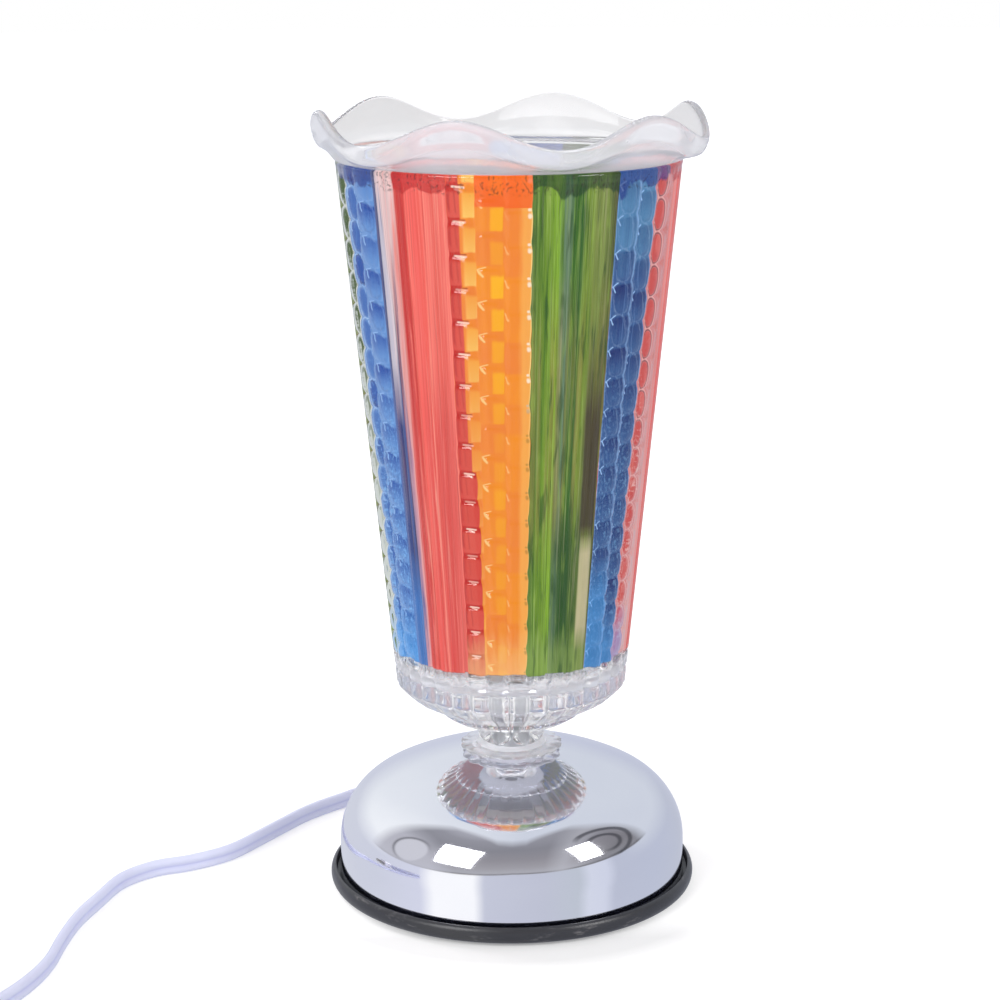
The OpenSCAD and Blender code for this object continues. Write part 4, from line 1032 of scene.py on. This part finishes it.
def round_about(bench, x, y):
    """Pale tones that plating mirrors low down, by direction, brightest in a band on the left."""
    turn = bench.maths("ARCTAN2", x, 0.0 - y) / (2 * math.pi) + 0.5
    tones = [(-180, 0.62, 0.65, 0.76), (-150, 0.68, 0.70, 0.77), (-100, 0.68, 0.70, 0.78),
             (-63, 0.72, 0.735, 0.84), (-53, 1.06, 1.06, 1.05), (-25, 1.06, 1.06, 1.05),
             (-18, 0.62, 0.64, 0.73), (20, 0.58, 0.60, 0.69), (44, 0.57, 0.61, 0.67), (52, 0.72, 0.75, 0.84),
             (64, 0.70, 0.73, 0.83), (72, 0.55, 0.58, 0.68), (110, 0.55, 0.585, 0.69),
             (150, 0.55, 0.58, 0.67), (180, 0.60, 0.63, 0.75)]
    return bench.ramp(turn, [(0.5 + t / 360, (r, g, b, 1)) for t, r, g, b in tones])


def floor_finish():
    """White table that takes the lamp's shadow, with a painted shadow in front of the base and painted light
    over the shadow on its right. Through glass it is greyer far off.
    """
    material, bench = finish("white_table")
    x, y = bench.place()[:2]
    path = bench.node("ShaderNodeLightPath", out="Is Camera Ray")
    lit = bench.node("ShaderNodeBsdfDiffuse", None, {"Color": (0.78, 0.78, 0.80, 1)})
    away = (x * x + y * y).root()
    glass_view = bench.light(1.14 - away.past(0.35, 0.4) * 0.34)
    # Painted shadow: the table glows less in a band just in front of the base
    front_shadow = (1.0 - away.past(0.068, 0.011)) * ((y + 0.034) * -60.0).clamp()
    # The glow grows away from the lamp; painted light raises it on the right over the lamp's shadow
    far = away.past(0.09, 0.25) * 0.26 + x.above(0.05, 20.0) * 0.08 + 0.54 - front_shadow * 0.24
    part = bench.node("ShaderNodeBsdfDiffuse", None, {"Color": (0.58, 0.58, 0.58, 1)})
    white = bench.node("ShaderNodeAddShader", None, {0: part, 1: bench.light(far)})
    once = bench.either(path.out("Is Transmission Ray"), lit, glass_view)
    bench.surface(bench.either(path, once, white))
    return material


table_top = [(0.0, -0.15), (400.0, -0.15), (6000.0, -0.15), (6000.0, -20.0), (0.0, -20.0)]
table = turned("table", list(reversed(table_top)), floor_finish(), around=64)
table.visible_glossy = False

world = bpy.data.worlds.new("surroundings")
scene.world = world
world.use_nodes = True
world.node_tree.nodes.clear()
bench = Bench(world.node_tree)
way = bench.node("ShaderNodeTexCoord", out="Generated")
x, y, z = bench.split(way)
path = bench.node("ShaderNodeLightPath", out="Is Camera Ray")

# What plating mirrors: pale surroundings, a dim ceiling ahead, a round screen and dark hoops
side = (x + 0.9).clamp() * 0.55
high_up = bench.blend(side, (0.98, 1.0, 1.0, 1), (0.44, 0.49, 0.60, 1))
room = bench.blend(z.past(0.05, 0.3), round_about(bench, x, y), high_up)
ahead_share = (y * -3.0 + 0.6).clamp() * (0.45 - z).least(0.0).most(0.2) * 5.0
ahead = bench.blend(ahead_share, room, round_about(bench, x, y))
rise = z - 0.28 - x.most(0.0) * 0.16
limit = z * 0.05 + abs(x) * 0.33 - (1.5 - abs(x) * 4.0).clamp() * 0.36
dim = (rise * 50.0).clamp() * ((limit - y) * 5.0).clamp()
tone = bench.ramp(rise + 0.28, [
    (0.26, (0.17, 0.16, 0.16, 1)), (0.30, (0.20, 0.19, 0.19, 1)), (0.335, (0.46, 0.46, 0.49, 1)),
    (0.45, (0.39, 0.38, 0.40, 1)), (0.64, (0.31, 0.30, 0.32, 1)), (0.82, (0.27, 0.27, 0.295, 1)),
    (0.95, (0.33, 0.33, 0.36, 1)), (1.0, (0.45, 0.45, 0.49, 1))])
tone = bench.blend(x.above(0.34, 6.0) * x.below(0.66, 8.0) * 0.55, tone, (0.56, 0.56, 0.59, 1))
tone = bench.blend(x.above(0.66, 5.0) * 0.45, tone, (0.07, 0.07, 0.08, 1))
tone = bench.blend((-0.60 - x).least(0.0).most(0.2) * 3.6, tone, (0.60, 0.60, 0.65, 1))
room = bench.blend(dim, ahead, tone)


def facing(direction):
    return bench.node("ShaderNodeVectorMath", {"operation": "DOT_PRODUCT"}, {0: way, 1: direction}, "Value")


wide_off, tall_off = facing((0.222, -0.975, 0.0)) / 0.22, facing((0.419, 0.0955, 0.902)) / 0.27
screen = (wide_off * wide_off + tall_off * tall_off).root() + (facing((-0.88, -0.20, 0.43)) < 0.0) * 9.0
screen_edge = screen.below(1.14, 8.0) * (0.4 - wide_off * 0.6 + tall_off * 0.3).clamp() * 0.8
room = bench.blend(screen_edge, room, (0.12, 0.12, 0.13, 1))
room = bench.blend(screen.below(1.0, 7.0), room, (0.66, 0.66, 0.70, 1))
spin = facing((0.78, -0.18, 0.60))
arcs = abs(spin - 0.9455).below(0.013, 160.0).least(abs(spin - 0.9816).below(0.007, 280.0))
room = bench.blend(arcs * ((y + 0.34) * 6.0).clamp() * 0.8, room, (0.06, 0.06, 0.07, 1))
mirrored = bench.blend(path.out("Is Glossy Ray"), (0.58, 0.58, 0.60, 1), room)

# What glass shows: near white straight behind it, greyer where it bends the view far aside
behind = ((y + 0.55) / 0.7).clamp()
through = bench.blend(behind, (0.42, 0.43, 0.48, 1), (0.84, 0.84, 0.85, 1))
light = bench.blend(path.out("Is Transmission Ray"), mirrored, through)
light = bench.blend(path, light, (1.0, 1.0, 1.0, 1))
backing = bench.node("ShaderNodeBackground", None, {"Color": light, "Strength": 1.0})
bench.node("ShaderNodeOutputWorld", None, {"Surface": backing})


def lamp(name, place, aim, size, power, tall=None):
    data = bpy.data.lights.new(name, "AREA")
    data.shape = "RECTANGLE"
    data.size = size
    data.size_y = tall or size
    data.energy = power
    body = bpy.data.objects.new(name, data)
    scene.collection.objects.link(body)
    body.location = place
    body.rotation_euler = (Vector(aim) - Vector(place)).to_track_quat("-Z", "Y").to_euler()
    return body


lamp("left_lamp", (-0.80, -0.92, 0.90), (0, -0.04, 0.03), 0.66, 10.0, 0.72)
lamp("right_lamp", (1.02, -0.68, 0.88), (0, -0.04, 0.03), 0.42, 7.2, 0.56)
lead_lamp = lamp("lead_lamp", (-0.36, 0.26, 0.36), (-0.07, 0.05, 0.0), 0.14, 0.07)
lead_lamp.data.spread = math.radians(40)
lead_lamp.visible_glossy = False
